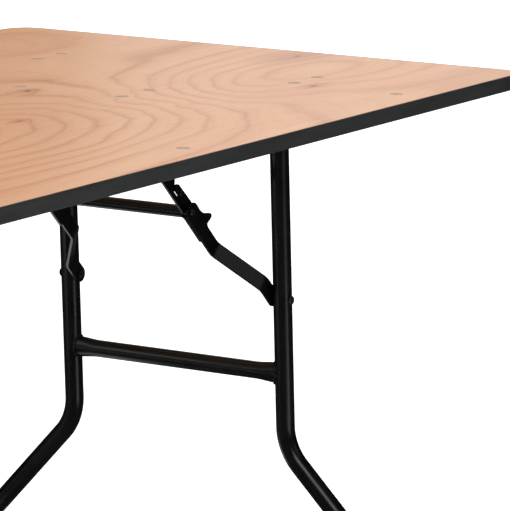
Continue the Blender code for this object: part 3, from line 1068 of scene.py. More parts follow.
@dataclass
class Workshop:
    """Adds finished pieces to the scene."""

    finishes: Finishes
    made: list[str] = field(default_factory=list)

    def add(
        self,
        name: str,
        mesh: bpy.types.Mesh,
        body: str,
        material: bpy.types.Material,
        slot: Slot | None,
        stands_for: str | None = None,
        edge: float = 0.0,
        crease: float = 40.0,
    ) -> bpy.types.Object:
        """Adds one piece.

        Args:
            name: The piece's name.
            mesh: Its mesh, where it stands in the table.
            body: The body it rides on.
            material: Its finish.
            slot: The record's slot for that finish, if it has one. Not used.
            stands_for: The CAD node that it replaces, if any.
            edge: Radius that rounds its sharp edges.
            crease: Angle over which an edge counts as sharp, in degrees.

        Returns:
            The new object.
        """
        mesh.name = name
        mesh.materials.clear()
        mesh.materials.append(material)
        mesh.shade_smooth()
        obj = bpy.data.objects.new(name, mesh)
        bpy.context.scene.collection.objects.link(obj)
        if edge:
            bevel = obj.modifiers.new("edges", "BEVEL")
            bevel.width = edge
            bevel.segments = 2
            bevel.limit_method = "ANGLE"
            bevel.angle_limit = math.radians(crease)
            bevel.use_clamp_overlap = True
            weighted = obj.modifiers.new("normals", "WEIGHTED_NORMAL")
            weighted.keep_sharp = True
        else:
            mesh.set_sharp_from_angle(angle=math.radians(crease))
        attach(obj, body)
        if stands_for:
            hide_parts(stands_for)
        self.made.append(name)
        return obj

    def add_all_round(
        self,
        name: str,
        mesh: bpy.types.Mesh,
        body: str,
        material: bpy.types.Material,
        slot: Slot | None,
        node: str | None = None,
        edge: float = 0.0,
        crease: float = 40.0,
    ) -> None:
        """Adds a right-hand piece of end a and its three copies.

        Args:
            name: Name of the pieces, which get the side and the end after it.
            mesh: The right-hand mesh of end a.
            body: The body they ride on. A {end} and a {side} in it are filled in.
            material: Their finish.
            slot: The record's slot, if it has one.
            node: The CAD nodes that they replace, without side and end, if any.
            edge: Radius that rounds their sharp edges.
            crease: Angle over which an edge counts as sharp, in degrees.
        """
        for end in End:
            for side in Side:
                tail = f"{side.value}_{end.value}"
                self.add(
                    f"{name}_{tail}",
                    moved_copy(mesh, end.turn @ side.mirror),
                    body.format(end=end.value, side=side.value),
                    material,
                    slot,
                    f"{node}_{tail}" if node else None,
                    edge,
                    crease,
                )

    def add_at_ends(
        self,
        name: str,
        mesh: bpy.types.Mesh,
        body: str,
        material: bpy.types.Material,
        slot: Slot | None,
        node: str | None = None,
        edge: float = 0.0,
    ) -> None:
        """Adds a middle piece of end a and its copy at end b.

        Args:
            name: Name of the pieces, which get the end after it.
            mesh: The mesh of end a.
            body: The body they ride on. A {end} in it is filled in.
            material: Their finish.
            slot: The record's slot, if it has one.
            node: The CAD nodes that they replace, without the end, if any.
            edge: Radius that rounds their sharp edges.
        """
        for end in End:
            stands_for = f"{node}_{end.value}" if node else None
            copy = moved_copy(mesh, end.turn)
            rides_on = body.format(end=end.value)
            self.add(f"{name}_{end.value}", copy, rides_on, material, slot, stands_for, edge)


# Top ------------------------------------------------------------------------------------------------


@dataclass
class Top:
    """The plywood board, its edge moulding, its rails and the bolts through it."""

    places: Places
    shop: Workshop
    corner_radius: float = 0.036
    face: float = 0.003
    gap: float = 0.0003
    ease: float = 0.0003
    corner_steps: int = 16
    groove_half: float = 0.0011
    groove_depth: float = 0.0096
    tongue_half: float = 0.0008
    tongue_depth: float = 0.009
    head_radius: float = 0.0073
    bolt_shank: float = 0.0030
    bore_radius: float = 0.0077
    bore_depth: float = 0.0013
    plate: float = 0.003
    rail_depth: float = 0.0110
    rail_thickness: float = 0.0015

    def build(self) -> None:
        """Builds and dresses the whole top."""
        self.board()
        self.moulding()
        self.rails()
        self.bolts()

    def outline(self, inset: float) -> list[Point2]:
        """The top's outline.

        Args:
            inset: How far it lies inside the outermost face.

        Returns:
            The outline, anticlockwise.
        """
        half_x = self.places.half_length - inset
        half_y = self.places.half_width - inset
        return rounded_rectangle(half_x, half_y, self.corner_radius - inset, self.corner_steps)

    def bolt_places(self) -> dict[str, list[Point2]]:
        """Where the bolts go at the right-hand side of end a.

        Returns:
            Places by what the bolts hold.
        """
        inwards = self.places.from_end
        return {
            "leg": [(inwards(0.179), -0.188), (inwards(0.232), -0.188)],
            "brace": [(inwards(0.373), -0.073), (inwards(0.431), -0.073)],
            "rail": [(inwards(0.243), -0.336), (inwards(0.703), -0.336)],
        }

    def board(self) -> None:
        """The board, with a groove for the moulding and a shallow seat for each bolt head."""
        low, high = self.places.underside, self.places.top
        middle = (low + high) / 2
        edge = self.face + self.gap
        deep = edge + self.groove_depth
        profile = (
            (edge + self.ease, high),
            (edge, high - self.ease),
            (edge, middle + self.groove_half),
            (deep, middle + self.groove_half),
            (deep, middle - self.groove_half),
            (edge, middle - self.groove_half),
            (edge, low + self.ease),
            (edge + self.ease, low),
        )
        rings = [[Vector((x, y, z)) for x, y in self.outline(inset)] for inset, z in profile]
        board = skin(rings, False, "veneer_board")
        seats = []
        for places in self.bolt_places().values():
            for x, y in places:
                for end in End:
                    for side in Side:
                        spot = end.turn @ side.mirror @ Vector((x, y, high))
                        seats.append(self.seat(spot))
        board = cut_away(board, joined(seats, "seats"), "veneer_board")
        finishes = self.shop.finishes
        self.shop.add("veneer_board", board, "table", finishes.veneer, Slot.PLYWOOD, "tabletop", 0.0, 25.0)

    def seat(self, spot: Vector) -> bpy.types.Mesh:
        """The space a bolt head sinks into.

        Args:
            spot: The middle of the head, on the upper face.

        Returns:
            A closed mesh that reaches a little above the face.
        """
        profile = (
            (0.0, 0.001),
            (self.bore_radius + 0.0003, 0.001),
            (self.bore_radius + 0.0003, 0.0),
            (self.bore_radius, -0.0003),
            (self.bore_radius, -self.bore_depth),
            (0.0, -self.bore_depth),
        )
        return turned(profile, Matrix.Translation(spot), 32, "seat")

    def moulding(self) -> None:
        """The edge moulding: a crowned face, round lips and a barbed tongue, its ends butted at the back."""
        low, high = self.places.underside, self.places.top
        middle, half = (low + high) / 2, (high - low) / 2
        lip = 0.0016
        face = [
            (lip - lip * math.sin(t), half - lip + lip * math.cos(t))
            for t in (math.radians(a) for a in (0, 22, 45, 68, 90))
        ]
        crown = [(0.0, half * share) for share in (0.6, 0.2, -0.2, -0.6)]
        lower = [(inset, -z) for inset, z in reversed(face)]
        back = self.face
        tongue = []
        for k in range(3):
            start = back + 0.0022 + 0.0022 * k
            tongue += [(start, -self.tongue_half + 0.0003), (start + 0.0004, -self.tongue_half - 0.0002)]
        barbs = tongue + [(back + self.tongue_depth, -0.0003), (back + self.tongue_depth, 0.0003)]
        barbs += [(inset, -z) for inset, z in reversed(tongue)]
        profile = face + crown + lower + [(back, -half), (back, -self.tongue_half), *barbs]
        profile += [(back, self.tongue_half), (back, half)]
        loops = [self.outline(inset) for inset, _ in profile]
        count = len(loops[0])
        stations = [
            [Vector((*loop[i], middle + z)) for loop, (_, z) in zip(loops, profile)] for i in range(count)
        ]
        seam = self.corner_steps
        first = self.butt(stations[seam], stations[seam + 1], 0.30)
        last = self.butt(stations[seam], stations[seam + 1], 0.30 - 0.00018)
        order = [first, *stations[seam + 1 :], *stations[: seam + 1], last]
        band = skin(order, False, "moulding_band")
        vinyl = self.shop.finishes.moulding
        self.shop.add("moulding_band", band, "table", vinyl, Slot.MOULDING, "edge_moulding")

    @staticmethod
    def butt(start: list[Vector], end: list[Vector], share: float) -> list[Vector]:
        """The profile at a share of the way along a straight stretch."""
        return [a.lerp(b, share) for a, b in zip(start, end)]

    def rails(self) -> None:
        """The two rails: hat-shaped strips under the long edges, with round bends and pressed ends."""
        low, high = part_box("side_rail_right")
        middle = -(low.y + high.y) / 2
        half_wide, half_long = (high.y - low.y) / 2, high.x
        level = self.places.underside - self.gap - self.rail_thickness / 2
        for side in Side:
            mesh = self.rail(middle, half_wide, half_long, level)
            self.shop.add(
                f"hat_rail_{side.value}",
                moved_copy(mesh, side.mirror),
                "table",
                self.shop.finishes.powder,
                Slot.POWDER_COAT,
                f"side_rail_{side.value}",
                0.0,
                50.0,
            )

    def rail(self, middle: float, half_wide: float, half_long: float, level: float) -> bpy.types.Mesh:
        """The right-hand rail.

        Args:
            middle: Distance of its middle from the table's middle line.
            half_wide: Half its width.
            half_long: Half its length.
            level: Height of its brims' middle surface.

        Returns:
            A closed mesh.
        """
        depth = self.rail_depth - self.rail_thickness
        section = [(half_wide, 0.0), (0.0130, 0.0), (0.0118, -0.0004), (0.0110, -0.0013)]
        section += [(0.0100, 0.0014 - depth), (0.0092, 0.0004 - depth), (0.0080, -depth), (0.0, -depth)]
        section += [(-across, down) for across, down in reversed(section[:-1])]
        stations = [(half_long, 0.0), (half_long - 0.010, 0.0), (half_long - 0.014, 0.25)]
        stations += [
            (half_long - 0.020, 0.80), (half_long - 0.024, 1.0), (half_long * 0.5, 1.0), (0.0, 1.0)
        ]
        stations += [(-x, share) for x, share in reversed(stations[:-1])]
        work = bmesh.new()
        grid = [
            [work.verts.new((x, -(middle + across), level + down * share)) for across, down in section]
            for x, share in stations
        ]
        for first, second in zip(grid, grid[1:]):
            for i in range(len(section) - 1):
                work.faces.new((first[i], first[i + 1], second[i + 1], second[i]))
        bmesh.ops.recalc_face_normals(work, faces=work.faces)
        strip = bpy.data.meshes.new("strip")
        work.to_mesh(strip)
        work.free()
        return thickened(strip, self.rail_thickness, "rail")

    def bolts(self) -> None:
        """The carriage bolts. Those of the brackets have nuts, and those of the rails are clinched."""
        plate_face = self.places.underside - self.gap - self.plate
        rail_face = self.places.underside - self.gap - self.rail_depth
        zinc = self.shop.finishes.zinc
        for kind, spots in self.bolt_places().items():
            for number, (x, y) in enumerate(spots):
                spot = Vector((x, y, 0.0))
                clinched = kind == "rail"
                bolt = self.clinched_bolt(spot, rail_face) if clinched else self.nut_bolt(spot, plate_face)
                self.shop.add_all_round(
                    f"{kind}_bolt_{number}", bolt, "table", zinc, None, crease=TURNED_CREASE
                )

    def bolt_head(self) -> list[Point2]:
        """The profile of a bolt's flush head.

        Returns:
            Radius and height pairs, from the axis to under the rim.
        """
        top, r = self.places.top, self.head_radius
        head = [(r * share, top - 0.00005 - 0.0004 * share**2) for share in (0.0, 0.4, 0.7, 0.9, 0.97)]
        under = top - self.bore_depth + 0.0001
        return head + [(r, top - 0.0007), (r, under), (self.bolt_shank, under)]

    def clinched_bolt(self, spot: Vector, face: float) -> bpy.types.Mesh:
        """A bolt whose end is hammered flat on the rail.

        Args:
            spot: Its x and y.
            face: Height of the rail's lower face.

        Returns:
            A closed mesh.
        """
        r = self.bolt_shank
        end = [(r, face - 0.0001), (r + 0.0022, face - 0.0001), (r + 0.0024, face - 0.0005)]
        end += [(r + 0.0014, face - 0.0009), (0.0, face - 0.0010)]
        return turned(self.bolt_head() + end, Matrix.Translation(spot), 32, "clinched_bolt")

    def nut_bolt(self, spot: Vector, face: float) -> bpy.types.Mesh:
        """A bolt with a washer and a nut.

        Args:
            spot: Its x and y.
            face: Height of the face that the washer lies on.

        Returns:
            A mesh of three closed shells.
        """
        r, nut = self.bolt_shank, 0.0050
        end = [(r, face - nut - 0.0020), (r - 0.0006, face - nut - 0.0026), (0.0, face - nut - 0.0026)]
        thread = []
        for k in range(6):
            z = face - nut - 0.0002 - 0.0003 * k
            thread += [(r, z), (r - 0.0002, z - 0.00015)]
        place = Matrix.Translation(spot)
        washer = [
            (r + 0.0001, face - 0.0001),
            (0.0070, face - 0.0001),
            (0.0072, face - 0.0004),
            (0.0070, face - 0.0012),
            (r + 0.0001, face - 0.0012),
        ]
        shank = turned(self.bolt_head() + thread + end, place, 32, "bolt")
        hexagon = self.nut(spot, face - 0.0013, nut - 0.0013, r)
        return joined((shank, ring_of(washer, place, 32), hexagon), "nut_bolt")

    @staticmethod
    def nut(spot: Vector, top: float, height: float, bore: float) -> bpy.types.Mesh:
        """A hexagon nut with chamfered corners.

        Args:
            spot: Its x and y.
            top: Height of its upper face.
            height: Its own height.
            bore: Radius of its bore.

        Returns:
            A closed mesh.
        """
        flat = 0.0050
        steps = 36
        rings = []
        for share, z in ((0.86, 0.0), (1.0, 0.12), (1.0, 0.85), (0.86, 1.0)):
            ring = []
            for k in range(steps):
                t = TAU * k / steps
                corner = flat / math.cos((t % (TAU / 6)) - TAU / 12)
                r = min(corner, flat * (1.155 if share == 1.0 else 1.02))
                ring.append(Vector((spot.x + r * math.cos(t), spot.y + r * math.sin(t), top - height * z)))
            rings.append(ring)
        for z in (1.0, 0.0):
            turns = [TAU * k / steps for k in range(steps)]
            r = bore + 0.0001
            level = top - height * z
            rings.append(
                [Vector((spot.x + r * math.cos(t), spot.y + r * math.sin(t), level)) for t in turns]
            )
        return skin(rings, True, "nut")


def ring_of(profile: Sequence[Point2], matrix: Matrix, steps: int) -> bpy.types.Mesh:
    """A ring turned about the matrix's Z axis.

    Args:
        profile: Radius and height pairs of its closed section.
        matrix: Where the axis lies.
        steps: Sides round the axis.

    Returns:
        A closed mesh.
    """
    turns = [TAU * k / steps for k in range(steps)]
    rings = [[matrix @ Vector((r * math.cos(t), r * math.sin(t), z)) for t in turns] for r, z in profile]
    return skin(rings, True, "ring")


# Brackets, pins and rivets --------------------------------------------------------------------------


@dataclass
class PressedBracket:
    """A bracket pressed from sheet: a base plate under the top, with an ear turned down to carry a pivot."""

    places: Places
    near: float
    far: float
    base_from: float
    base_width: float
    outwards: bool
    pivot: Vector
    bolts: list[Point2]
    thickness: float = 0.003
    gap: float = 0.0003
    bend: float = 0.003
    ear: float = 0.013
    corner: float = 0.005
    hole: float = 0.0032
    pivot_hole: float = 0.0042

    def mesh(self, name: str) -> bpy.types.Mesh:
        """The bracket at the right-hand side of end a.

        Args:
            name: Name of the new mesh.

        Returns:
            A closed mesh.
        """
        level = self.places.underside - self.gap - self.thickness / 2
        arc_length = self.bend * math.pi / 2
        drop = level - self.bend - self.pivot.z
        centre = (self.pivot.x, -arc_length - drop)
        low, high = self.places.from_end(self.far), self.places.from_end(self.near)
        wide, r = self.base_width, self.corner
        outline = [(low, 0.0), (centre[0] - self.ear, 0.0), *arc(centre, self.ear, 180.0, 360.0, 20)]
        outline += [(centre[0] + self.ear, 0.0), (high, 0.0)]
        outline += arc((high - r, wide - r), r, 0.0, 90.0, 6) + arc((low + r, wide - r), r, 90.0, 180.0, 6)
        holes = [circle((x, self.across(y)), self.hole, 20) for x, y in self.bolts]
        loops = [outline, *holes, circle(centre, self.pivot_hole, 24)]
        cuts = [((0.0, -arc_length * k / 5), (0.0, 1.0)) for k in range(6)]
        sign = 1.0 if self.outwards else -1.0

        def shape(x: float, v: float) -> Vector:
            """Bends the blank into the base and the ear.

            Args:
                x: A point's place along the bend.
                v: Its distance from the bend, positive on the base.

            Returns:
                Where the point goes.
            """
            if v >= 0.0:
                return Vector((x, -(self.base_from - sign * v), level))
            turn = min(-v / self.bend, math.pi / 2)
            side = self.base_from + sign * self.bend * math.sin(turn)
            rest = max(-v - arc_length, 0.0)
            return Vector((x, -side, level - self.bend * (1.0 - math.cos(turn)) - rest))

        return pressed_sheet(loops, cuts, shape, self.thickness, name)

    def across(self, y: float) -> float:
        """Distance from the bend to a bolt, across the base plate."""
        return (self.base_from + y) if self.outwards else (-y - self.base_from)


@dataclass
class HeadedPin:
    """A pin along the table's width, with a domed outer head, a flat inner head and an optional washer."""

    point: Vector
    near: float
    far: float
    shank: float = 0.004
    head: float = 0.0068
    height: float = 0.0028
    washer: float = 0.0
    dimple: float = 0.0
    outer_head: bool = True
    inner_head: bool = True

    def outer_profile(self) -> list[Point2]:
        """The profile of the outer end.

        Returns:
            Radius and height pairs, from the axis to the shank.
        """
        if not self.outer_head:
            return [(0.0, self.far), (self.shank - 0.0003, self.far), (self.shank, self.far - 0.0003)]
        profile: list[Point2] = [(0.0, self.far + self.height - self.dimple)]
        if self.dimple:
            profile += [(self.head * 0.34, self.far + self.height - self.dimple)]
            profile += [(self.head * 0.46, self.far + self.height - self.dimple * 0.2)]
        for angle in (66, 54, 40, 24, 8):
            t = math.radians(angle)
            if self.dimple and angle > 58:
                continue
            rise = 0.25 + 0.75 * math.sin(t)
            profile.append((self.head * math.cos(t) * 0.99, self.far + self.height * rise))
        profile += [(self.head, self.far + self.height * 0.25), (self.head, self.far + 0.00005)]
        if self.washer:
            flat = self.washer - 0.0004
            profile += [
                (flat, self.far), (self.washer, self.far - 0.0003), (self.washer, self.far - 0.0009)
            ]
            profile.append((self.shank, self.far - 0.0010))
        else:
            profile.append((self.shank, self.far))
        return profile

    def inner_profile(self) -> list[Point2]:
        """The profile of the inner end.

        Returns:
            Radius and height pairs, from the shank to the axis.
        """
        if not self.inner_head:
            return [(self.shank, self.near), (0.0, self.near)]
        rim, low = self.head * 0.94, self.near - 0.0018
        profile = [
            (self.shank, self.near), (rim - 0.0004, self.near), (rim, self.near - 0.0004), (rim, low)
        ]
        return profile + [(rim - 0.0006, low - 0.0005), (rim * 0.4, low - 0.0007), (0.0, low - 0.0007)]

    def mesh(self, name: str) -> bpy.types.Mesh:
        """The pin's mesh at the right-hand side of end a.

        Args:
            name: Name of the new mesh.

        Returns:
            A closed mesh.
        """
        place = Matrix.Translation((self.point.x, 0.0, self.point.z))
        matrix = place @ Matrix.Rotation(math.pi / 2, 4, "X")
        return turned(self.outer_profile() + self.inner_profile(), matrix, 32, name)


# Leg frames -----------------------------------------------------------------------------------------


@dataclass
class LegFrames:
    """Both wishbone frames: bent legs, crossbars, welds, brackets, pivots and foot caps."""

    places: Places
    shop: Workshop
    radius: float = 0.0117
    wall: float = 0.0013
    leg_top: float = 0.736
    leg_foot: float = 0.0043
    upper_bend: float = 0.3015
    lower_bend: float = 0.150
    upper_radius: float = 0.070
    lower_radius: float = 0.052
    crossbar_height: float = 0.396
    crossbar_radius: float = 0.01075
    flare_reach: float = 0.028
    flare_height: float = 1.20
    flare_depth: float = 0.88
    gap: float = 0.0003
    bead: float = 0.0021

    def build(self) -> None:
        """Builds and dresses both frames."""
        finishes, shop, places = self.shop.finishes, self.shop, self.places
        leg_body = "legs_{end}"
        shop.add_all_round("bent_leg", self.leg(), leg_body, finishes.powder, Slot.POWDER_COAT, "leg_tube")
        shop.add_at_ends(
            "flared_crossbar", self.crossbar(), leg_body, finishes.powder, Slot.POWDER_COAT, "leg_crossbar"
        )
        shop.add_all_round(
            "crossbar_weld", self.weld(), leg_body, finishes.weld, Slot.POWDER_COAT, crease=WELD_CREASE
        )
        shop.add_all_round(
            "ribbed_foot",
            self.foot(),
            leg_body,
            finishes.plastic,
            Slot.FOOT_PLASTIC,
            "foot_cap",
            crease=RIB_CREASE,
        )
        leg_face = places.leg_side + self.radius
        inner_face = places.leg_side - self.radius
        rivet = HeadedPin(places.leg_rivet, inner_face, leg_face + self.gap, head=0.0056, inner_head=False)
        shop.add_all_round(
            "leg_pivot_rivet",
            rivet.mesh("rivet"),
            leg_body,
            finishes.rivet,
            Slot.BLACK_STEEL,
            "leg_rivet",
            crease=TURNED_CREASE,
        )
        bracket = PressedBracket(
            places,
            near=0.166,
            far=0.246,
            base_from=0.1755,
            base_width=0.0265,
            outwards=False,
            pivot=places.pivot,
            bolts=Top(places, shop).bolt_places()["leg"],
        )
        shop.add_all_round(
            "leg_hanger",
            bracket.mesh("bracket"),
            "table",
            finishes.powder,
            Slot.POWDER_COAT,
            "leg_bracket",
            edge=0.0004,
        )
        pin = HeadedPin(places.pivot, places.leg_side - self.radius - self.gap, 0.1753, washer=0.0088)
        shop.add_all_round(
            "leg_hinge_pin",
            pin.mesh("pin"),
            "table",
            finishes.rivet,
            Slot.BLACK_STEEL,
            "leg_pin",
            crease=TURNED_CREASE,
        )

    def leg(self) -> bpy.types.Mesh:
        """One bent leg tube.

        Returns:
            A closed mesh.
        """
        places = self.places
        corners = [
            places.on_leg(self.leg_top, places.leg_side),
            places.on_leg(self.upper_bend, places.leg_side),
            places.on_leg(self.lower_bend, places.foot_side),
            places.on_leg(self.leg_foot, places.foot_side),
        ]
        path = bent_path(corners, (self.upper_radius, self.lower_radius), 18)
        return hollow_tube(path, self.radius, self.wall, 40, "leg")

    def end_ring(self, radius: float, count: int) -> list[Vector]:
        """Where the crossbar's end meets the right-hand leg.

        Args:
            radius: The crossbar's radius.
            count: Points round it.

        Returns:
            Points on the leg's surface.
        """
        middle = self.places.on_leg(self.crossbar_height)
        reach = self.radius + self.gap
        ring = []
        for k in range(count):
            t = TAU * k / count
            x = middle.x + radius * self.flare_depth * math.cos(t)
            z = middle.z + radius * self.flare_height * math.sin(t)
            aside = x - self.places.on_leg(z).x
            ring.append(Vector((x, -self.places.leg_side + math.sqrt(reach**2 - aside**2), z)))
        return ring

    def crossbar(self) -> bpy.types.Mesh:
        """The crossbar, pressed taller and thinner near the legs and coped to fit them.

        Returns:
            A closed mesh.
        """
        middle = self.places.on_leg(self.crossbar_height)
        side = self.places.leg_side
        reach = self.radius + self.gap
        inner_stations = [side - reach - self.flare_reach * k / 10 for k in range(1, 11)]
        halves = [side, *inner_stations]
        stations = [-y for y in halves] + [0.0] + list(reversed(halves))
        count = 40
        shells = []
        for radius in (self.crossbar_radius, self.crossbar_radius - self.wall):
            rings = []
            for station in stations:
                blend = smooth_step(abs(station), side - reach - self.flare_reach, side - reach)
                tall = 1.0 + (self.flare_height - 1.0) * blend
                deep = 1.0 + (self.flare_depth - 1.0) * blend
                if abs(station) == side:
                    ring = self.end_ring(radius, count)
                    rings.append([Vector((p.x, math.copysign(p.y, station), p.z)) for p in ring])
                    continue
                turns = [TAU * k / count for k in range(count)]
                rings.append(
                    [
                        Vector(
                            (
                                middle.x + radius * deep * math.cos(t),
                                station,
                                middle.z + radius * tall * math.sin(t),
                            )
                        )
                        for t in turns
                    ]
                )
            shells.append(rings)
        return skin(shells[0] + list(reversed(shells[1])), True, "crossbar")

    def weld(self) -> bpy.types.Mesh:
        """A rippled fillet weld round the crossbar's right-hand end.

        Returns:
            A closed mesh.
        """
        count, sides = 84, 10
        path = self.end_ring(self.crossbar_radius + 0.0004, count)
        frames = path_frames(path, closed=True)
        rings = []
        for i, (point, (across, over)) in enumerate(zip(path, frames)):
            ripple = 0.80 + 0.14 * abs(math.sin(math.pi * i / 4.0)) + 0.10 * math.sin(0.37 * i)
            r = self.bead * ripple
            turns = (TAU * k / sides for k in range(sides))
            rings.append([point + across * (r * math.cos(t)) + over * (r * math.sin(t)) for t in turns])
        return skin(rings, True, "weld")

    def foot(self) -> bpy.types.Mesh:
        """A foot cap with soft ribs, cut flat on the floor.

        Returns:
            A closed mesh.
        """
        bore = self.radius + self.gap
        foot = self.places.on_leg(0.0, self.places.foot_side)
        above = self.places.on_leg(0.1, self.places.foot_side)
        profile: list[Point2] = [(0.0, 0.004), (bore, 0.004), (bore, 0.0338), (bore + 0.0005, 0.0342)]
        profile += [(0.0134, 0.0338), (0.0139, 0.0328), (0.0139, 0.0300)]
        for k in range(6):
            z = 0.0285 - 0.0034 * k
            profile += [(0.0136, z), (0.0141, z - 0.0008), (0.0141, z - 0.0021), (0.0136, z - 0.0029)]
        profile += [
            (0.0143, 0.0070), (0.0147, 0.0056), (0.0147, 0.0026), (0.0142, 0.0010), (0.0132, -0.0002)
        ]
        profile += [(0.0130, -0.003), (0.0, -0.003)]
        matrix = Matrix.Translation(foot) @ (above - foot).to_track_quat("Z", "Y").to_matrix().to_4x4()
        cap = turned(profile, matrix, 40, "foot")
        work = bmesh.new()
        work.from_mesh(cap)
        everything = work.verts[:] + work.edges[:] + work.faces[:]
        cut = bmesh.ops.bisect_plane(
            work, geom=everything, plane_co=(0.0, 0.0, 0.0), plane_no=(0.0, 0.0, -1.0), clear_outer=True
        )
        edges = [item for item in cut["geom_cut"] if isinstance(item, bmesh.types.BMEdge)]
        bmesh.ops.holes_fill(work, edges=edges)
        return mesh_from(work, "foot")


# Folding braces -------------------------------------------------------------------------------------


@dataclass
class Braces:
    """The folding braces: upper and lower bars, knuckle tube, rivets and lock levers."""

    places: Places
    shop: Workshop
    width: float = 0.020
    thickness: float = 0.003
    upper_inner: float = 0.0965
    lower_inner: float = 0.1005
    lower_outer: float = 0.1035
    gap: float = 0.0003
    plate_side: float = 0.143
    tail: float = 0.048
    tail_width: float = 0.0095
    tail_drop: float = 0.0012
    lean: float = 0.003
    notch: tuple[Point2, ...] = ((-0.050, 0.011), (-0.0415, -0.0005), (-0.0265, -0.0005), (-0.0375, 0.011))
    joggle_from: float = 0.0765
    joggle_to: float = 0.1435
    joggle_ease: float = 0.005
    tube_radius: float = 0.0075
    lever_thickness: float = 0.002
    lever_bend: float = 0.0015
    lever: tuple[Point2, ...] = (
        (-0.0040, -0.0098),
        (-0.0070, -0.0088),
        (-0.0092, -0.0060),
        (-0.0104, -0.0025),
        (-0.0104, 0.0012),
        (-0.0094, 0.0052),
        (-0.0075, 0.0086),
        (-0.0048, 0.0113),
        (-0.0005, 0.0130),
        (0.0060, 0.0130),
        (0.0125, 0.0125),
        (0.0180, 0.0134),
        (0.0235, 0.0161),
        (0.0285, 0.0200),
        (0.0315, 0.0222),
        (0.0335, 0.0228),
        (0.0358, 0.0223),
        (0.0374, 0.0207),
        (0.0381, 0.0180),
        (0.0380, 0.0148),
        (0.0370, 0.0116),
        (0.0376, 0.0098),
        (0.0395, 0.0088),
        (0.0425, 0.0080),
        (0.0440, 0.0060),
        (0.0446, 0.0025),
        (0.0446, -0.0098),
    )

    @property
    def upper_length(self) -> float:
        """Distance from the table's brace pivot to the knuckle."""
        flat = Vector((self.places.brace_pivot.x, 0.0, self.places.brace_pivot.z))
        return (self.places.knuckle - flat).length

    @property
    def lower_length(self) -> float:
        """Distance from the knuckle to the leg rivet."""
        flat = Vector((self.places.leg_rivet.x, 0.0, self.places.leg_rivet.z))
        return (flat - self.places.knuckle).length

    def build(self) -> None:
        """Builds and dresses every brace."""
        shop, finishes, places = self.shop, self.shop.finishes, self.places
        powder, rivet = finishes.powder, finishes.rivet
        upper, lower = "upper_brace_{end}", "lower_brace_{end}"
        shop.add_all_round(
            "upper_bar_plate", self.upper_bar(), upper, powder, Slot.POWDER_COAT, "upper_bar", edge=0.0004
        )
        shop.add_at_ends(
            "knuckle_spacer",
            self.knuckle_tube(),
            upper,
            powder,
            Slot.POWDER_COAT,
            "knuckle_tube",
            edge=0.0003,
        )
        shop.add_all_round(
            "spacer_weld", self.tube_weld(), upper, finishes.weld, Slot.POWDER_COAT, crease=WELD_CREASE
        )
        shop.add_all_round(
            "lower_bar_plate", self.lower_bar(), lower, powder, Slot.POWDER_COAT, "lower_bar", edge=0.0004
        )
        knuckle = HeadedPin(
            places.knuckle,
            self.upper_inner + self.thickness + 0.0005,
            self.lower_outer + self.gap + self.lever_thickness + 0.0001,
            shank=0.0032,
            head=0.0047,
            height=0.0022,
            dimple=0.0008,
            inner_head=False,
        )
        shop.add_all_round(
            "knuckle_rivet_head",
            knuckle.mesh("rivet"),
            lower,
            rivet,
            Slot.BLACK_STEEL,
            "knuckle_rivet",
            crease=TURNED_CREASE,
        )
        plate = self.plate_side
        stub = HeadedPin(
            places.leg_rivet,
            plate - self.thickness / 2 - self.gap,
            plate + self.thickness / 2 + self.gap,
            head=0.0056,
            outer_head=False,
        )
        shop.add_all_round(
            "bar_pivot_rivet",
            stub.mesh("rivet"),
            lower,
            rivet,
            Slot.BLACK_STEEL,
            "bar_rivet",
            crease=TURNED_CREASE,
        )
        tail_middle = (self.width - self.tail_width) / 2 - self.tail_drop
        spot = places.knuckle - places.bar * 0.033 + places.bar_across * tail_middle
        stop_rivet = HeadedPin(
            spot,
            self.lower_inner - 0.0003,
            self.lower_outer,
            shank=0.0018,
            head=0.0029,
            height=0.0012,
            inner_head=False,
        )
        shop.add_all_round(
            "tail_rivet", stop_rivet.mesh("rivet"), lower, rivet, Slot.BLACK_STEEL, crease=TURNED_CREASE
        )
        shop.add_all_round(
            "thumb_lever",
            self.lock_lever(),
            "lever_{side}_{end}",
            powder,
            Slot.POWDER_COAT,
            "lock_lever",
            edge=0.0003,
        )
        bracket = PressedBracket(
            places,
            near=0.358,
            far=0.462,
            base_from=0.091,
            base_width=0.033,
            outwards=True,
            pivot=places.brace_pivot,
            bolts=Top(places, shop).bolt_places()["brace"],
        )
        shop.add_all_round(
            "brace_hanger",
            bracket.mesh("bracket"),
            "table",
            powder,
            Slot.POWDER_COAT,
            "brace_bracket",
            edge=0.0004,
        )
        pin = HeadedPin(
            places.brace_pivot, 0.0922, self.upper_inner + self.thickness + 0.0012, washer=0.0085
        )
        shop.add_all_round(
            "brace_hinge_pin",
            pin.mesh("pin"),
            "table",
            rivet,
            Slot.BLACK_STEEL,
            "brace_pin",
            crease=TURNED_CREASE,
        )

    def on_bar(self, start: Vector, along: float, across: float, side: float) -> Vector:
        """A point from its distances along and across the brace, at a distance to the right."""
        flat = start + self.places.bar * along + self.places.bar_across * across
        return Vector((flat.x, -side, flat.z))

    def upper_bar(self) -> bpy.types.Mesh:
        """An upper bar, with a notch beside the lower bar's tail.

        Returns:
            A closed mesh.
        """
        half, length = self.width / 2, self.upper_length
        outline = arc((length, 0.0), half, -90.0, 90.0, 18)
        outline += [
            (length + along, min(across - self.lean, half)) for along, across in reversed(self.notch)
        ]
        outline += arc((0.0, 0.0), half, 90.0, 270.0, 18)
        side = self.upper_inner + self.thickness / 2
        loops = [outline, circle((0.0, -self.lean), 0.0042)]
        start = self.places.brace_pivot + self.places.bar_across * self.lean

        def lay(s: float, n: float) -> Vector:
            """Lays a point of the flat blank in the bar's plane."""
            return self.on_bar(start, s, n, side)

        return pressed_sheet(loops, (), lay, self.thickness, "upper_bar")

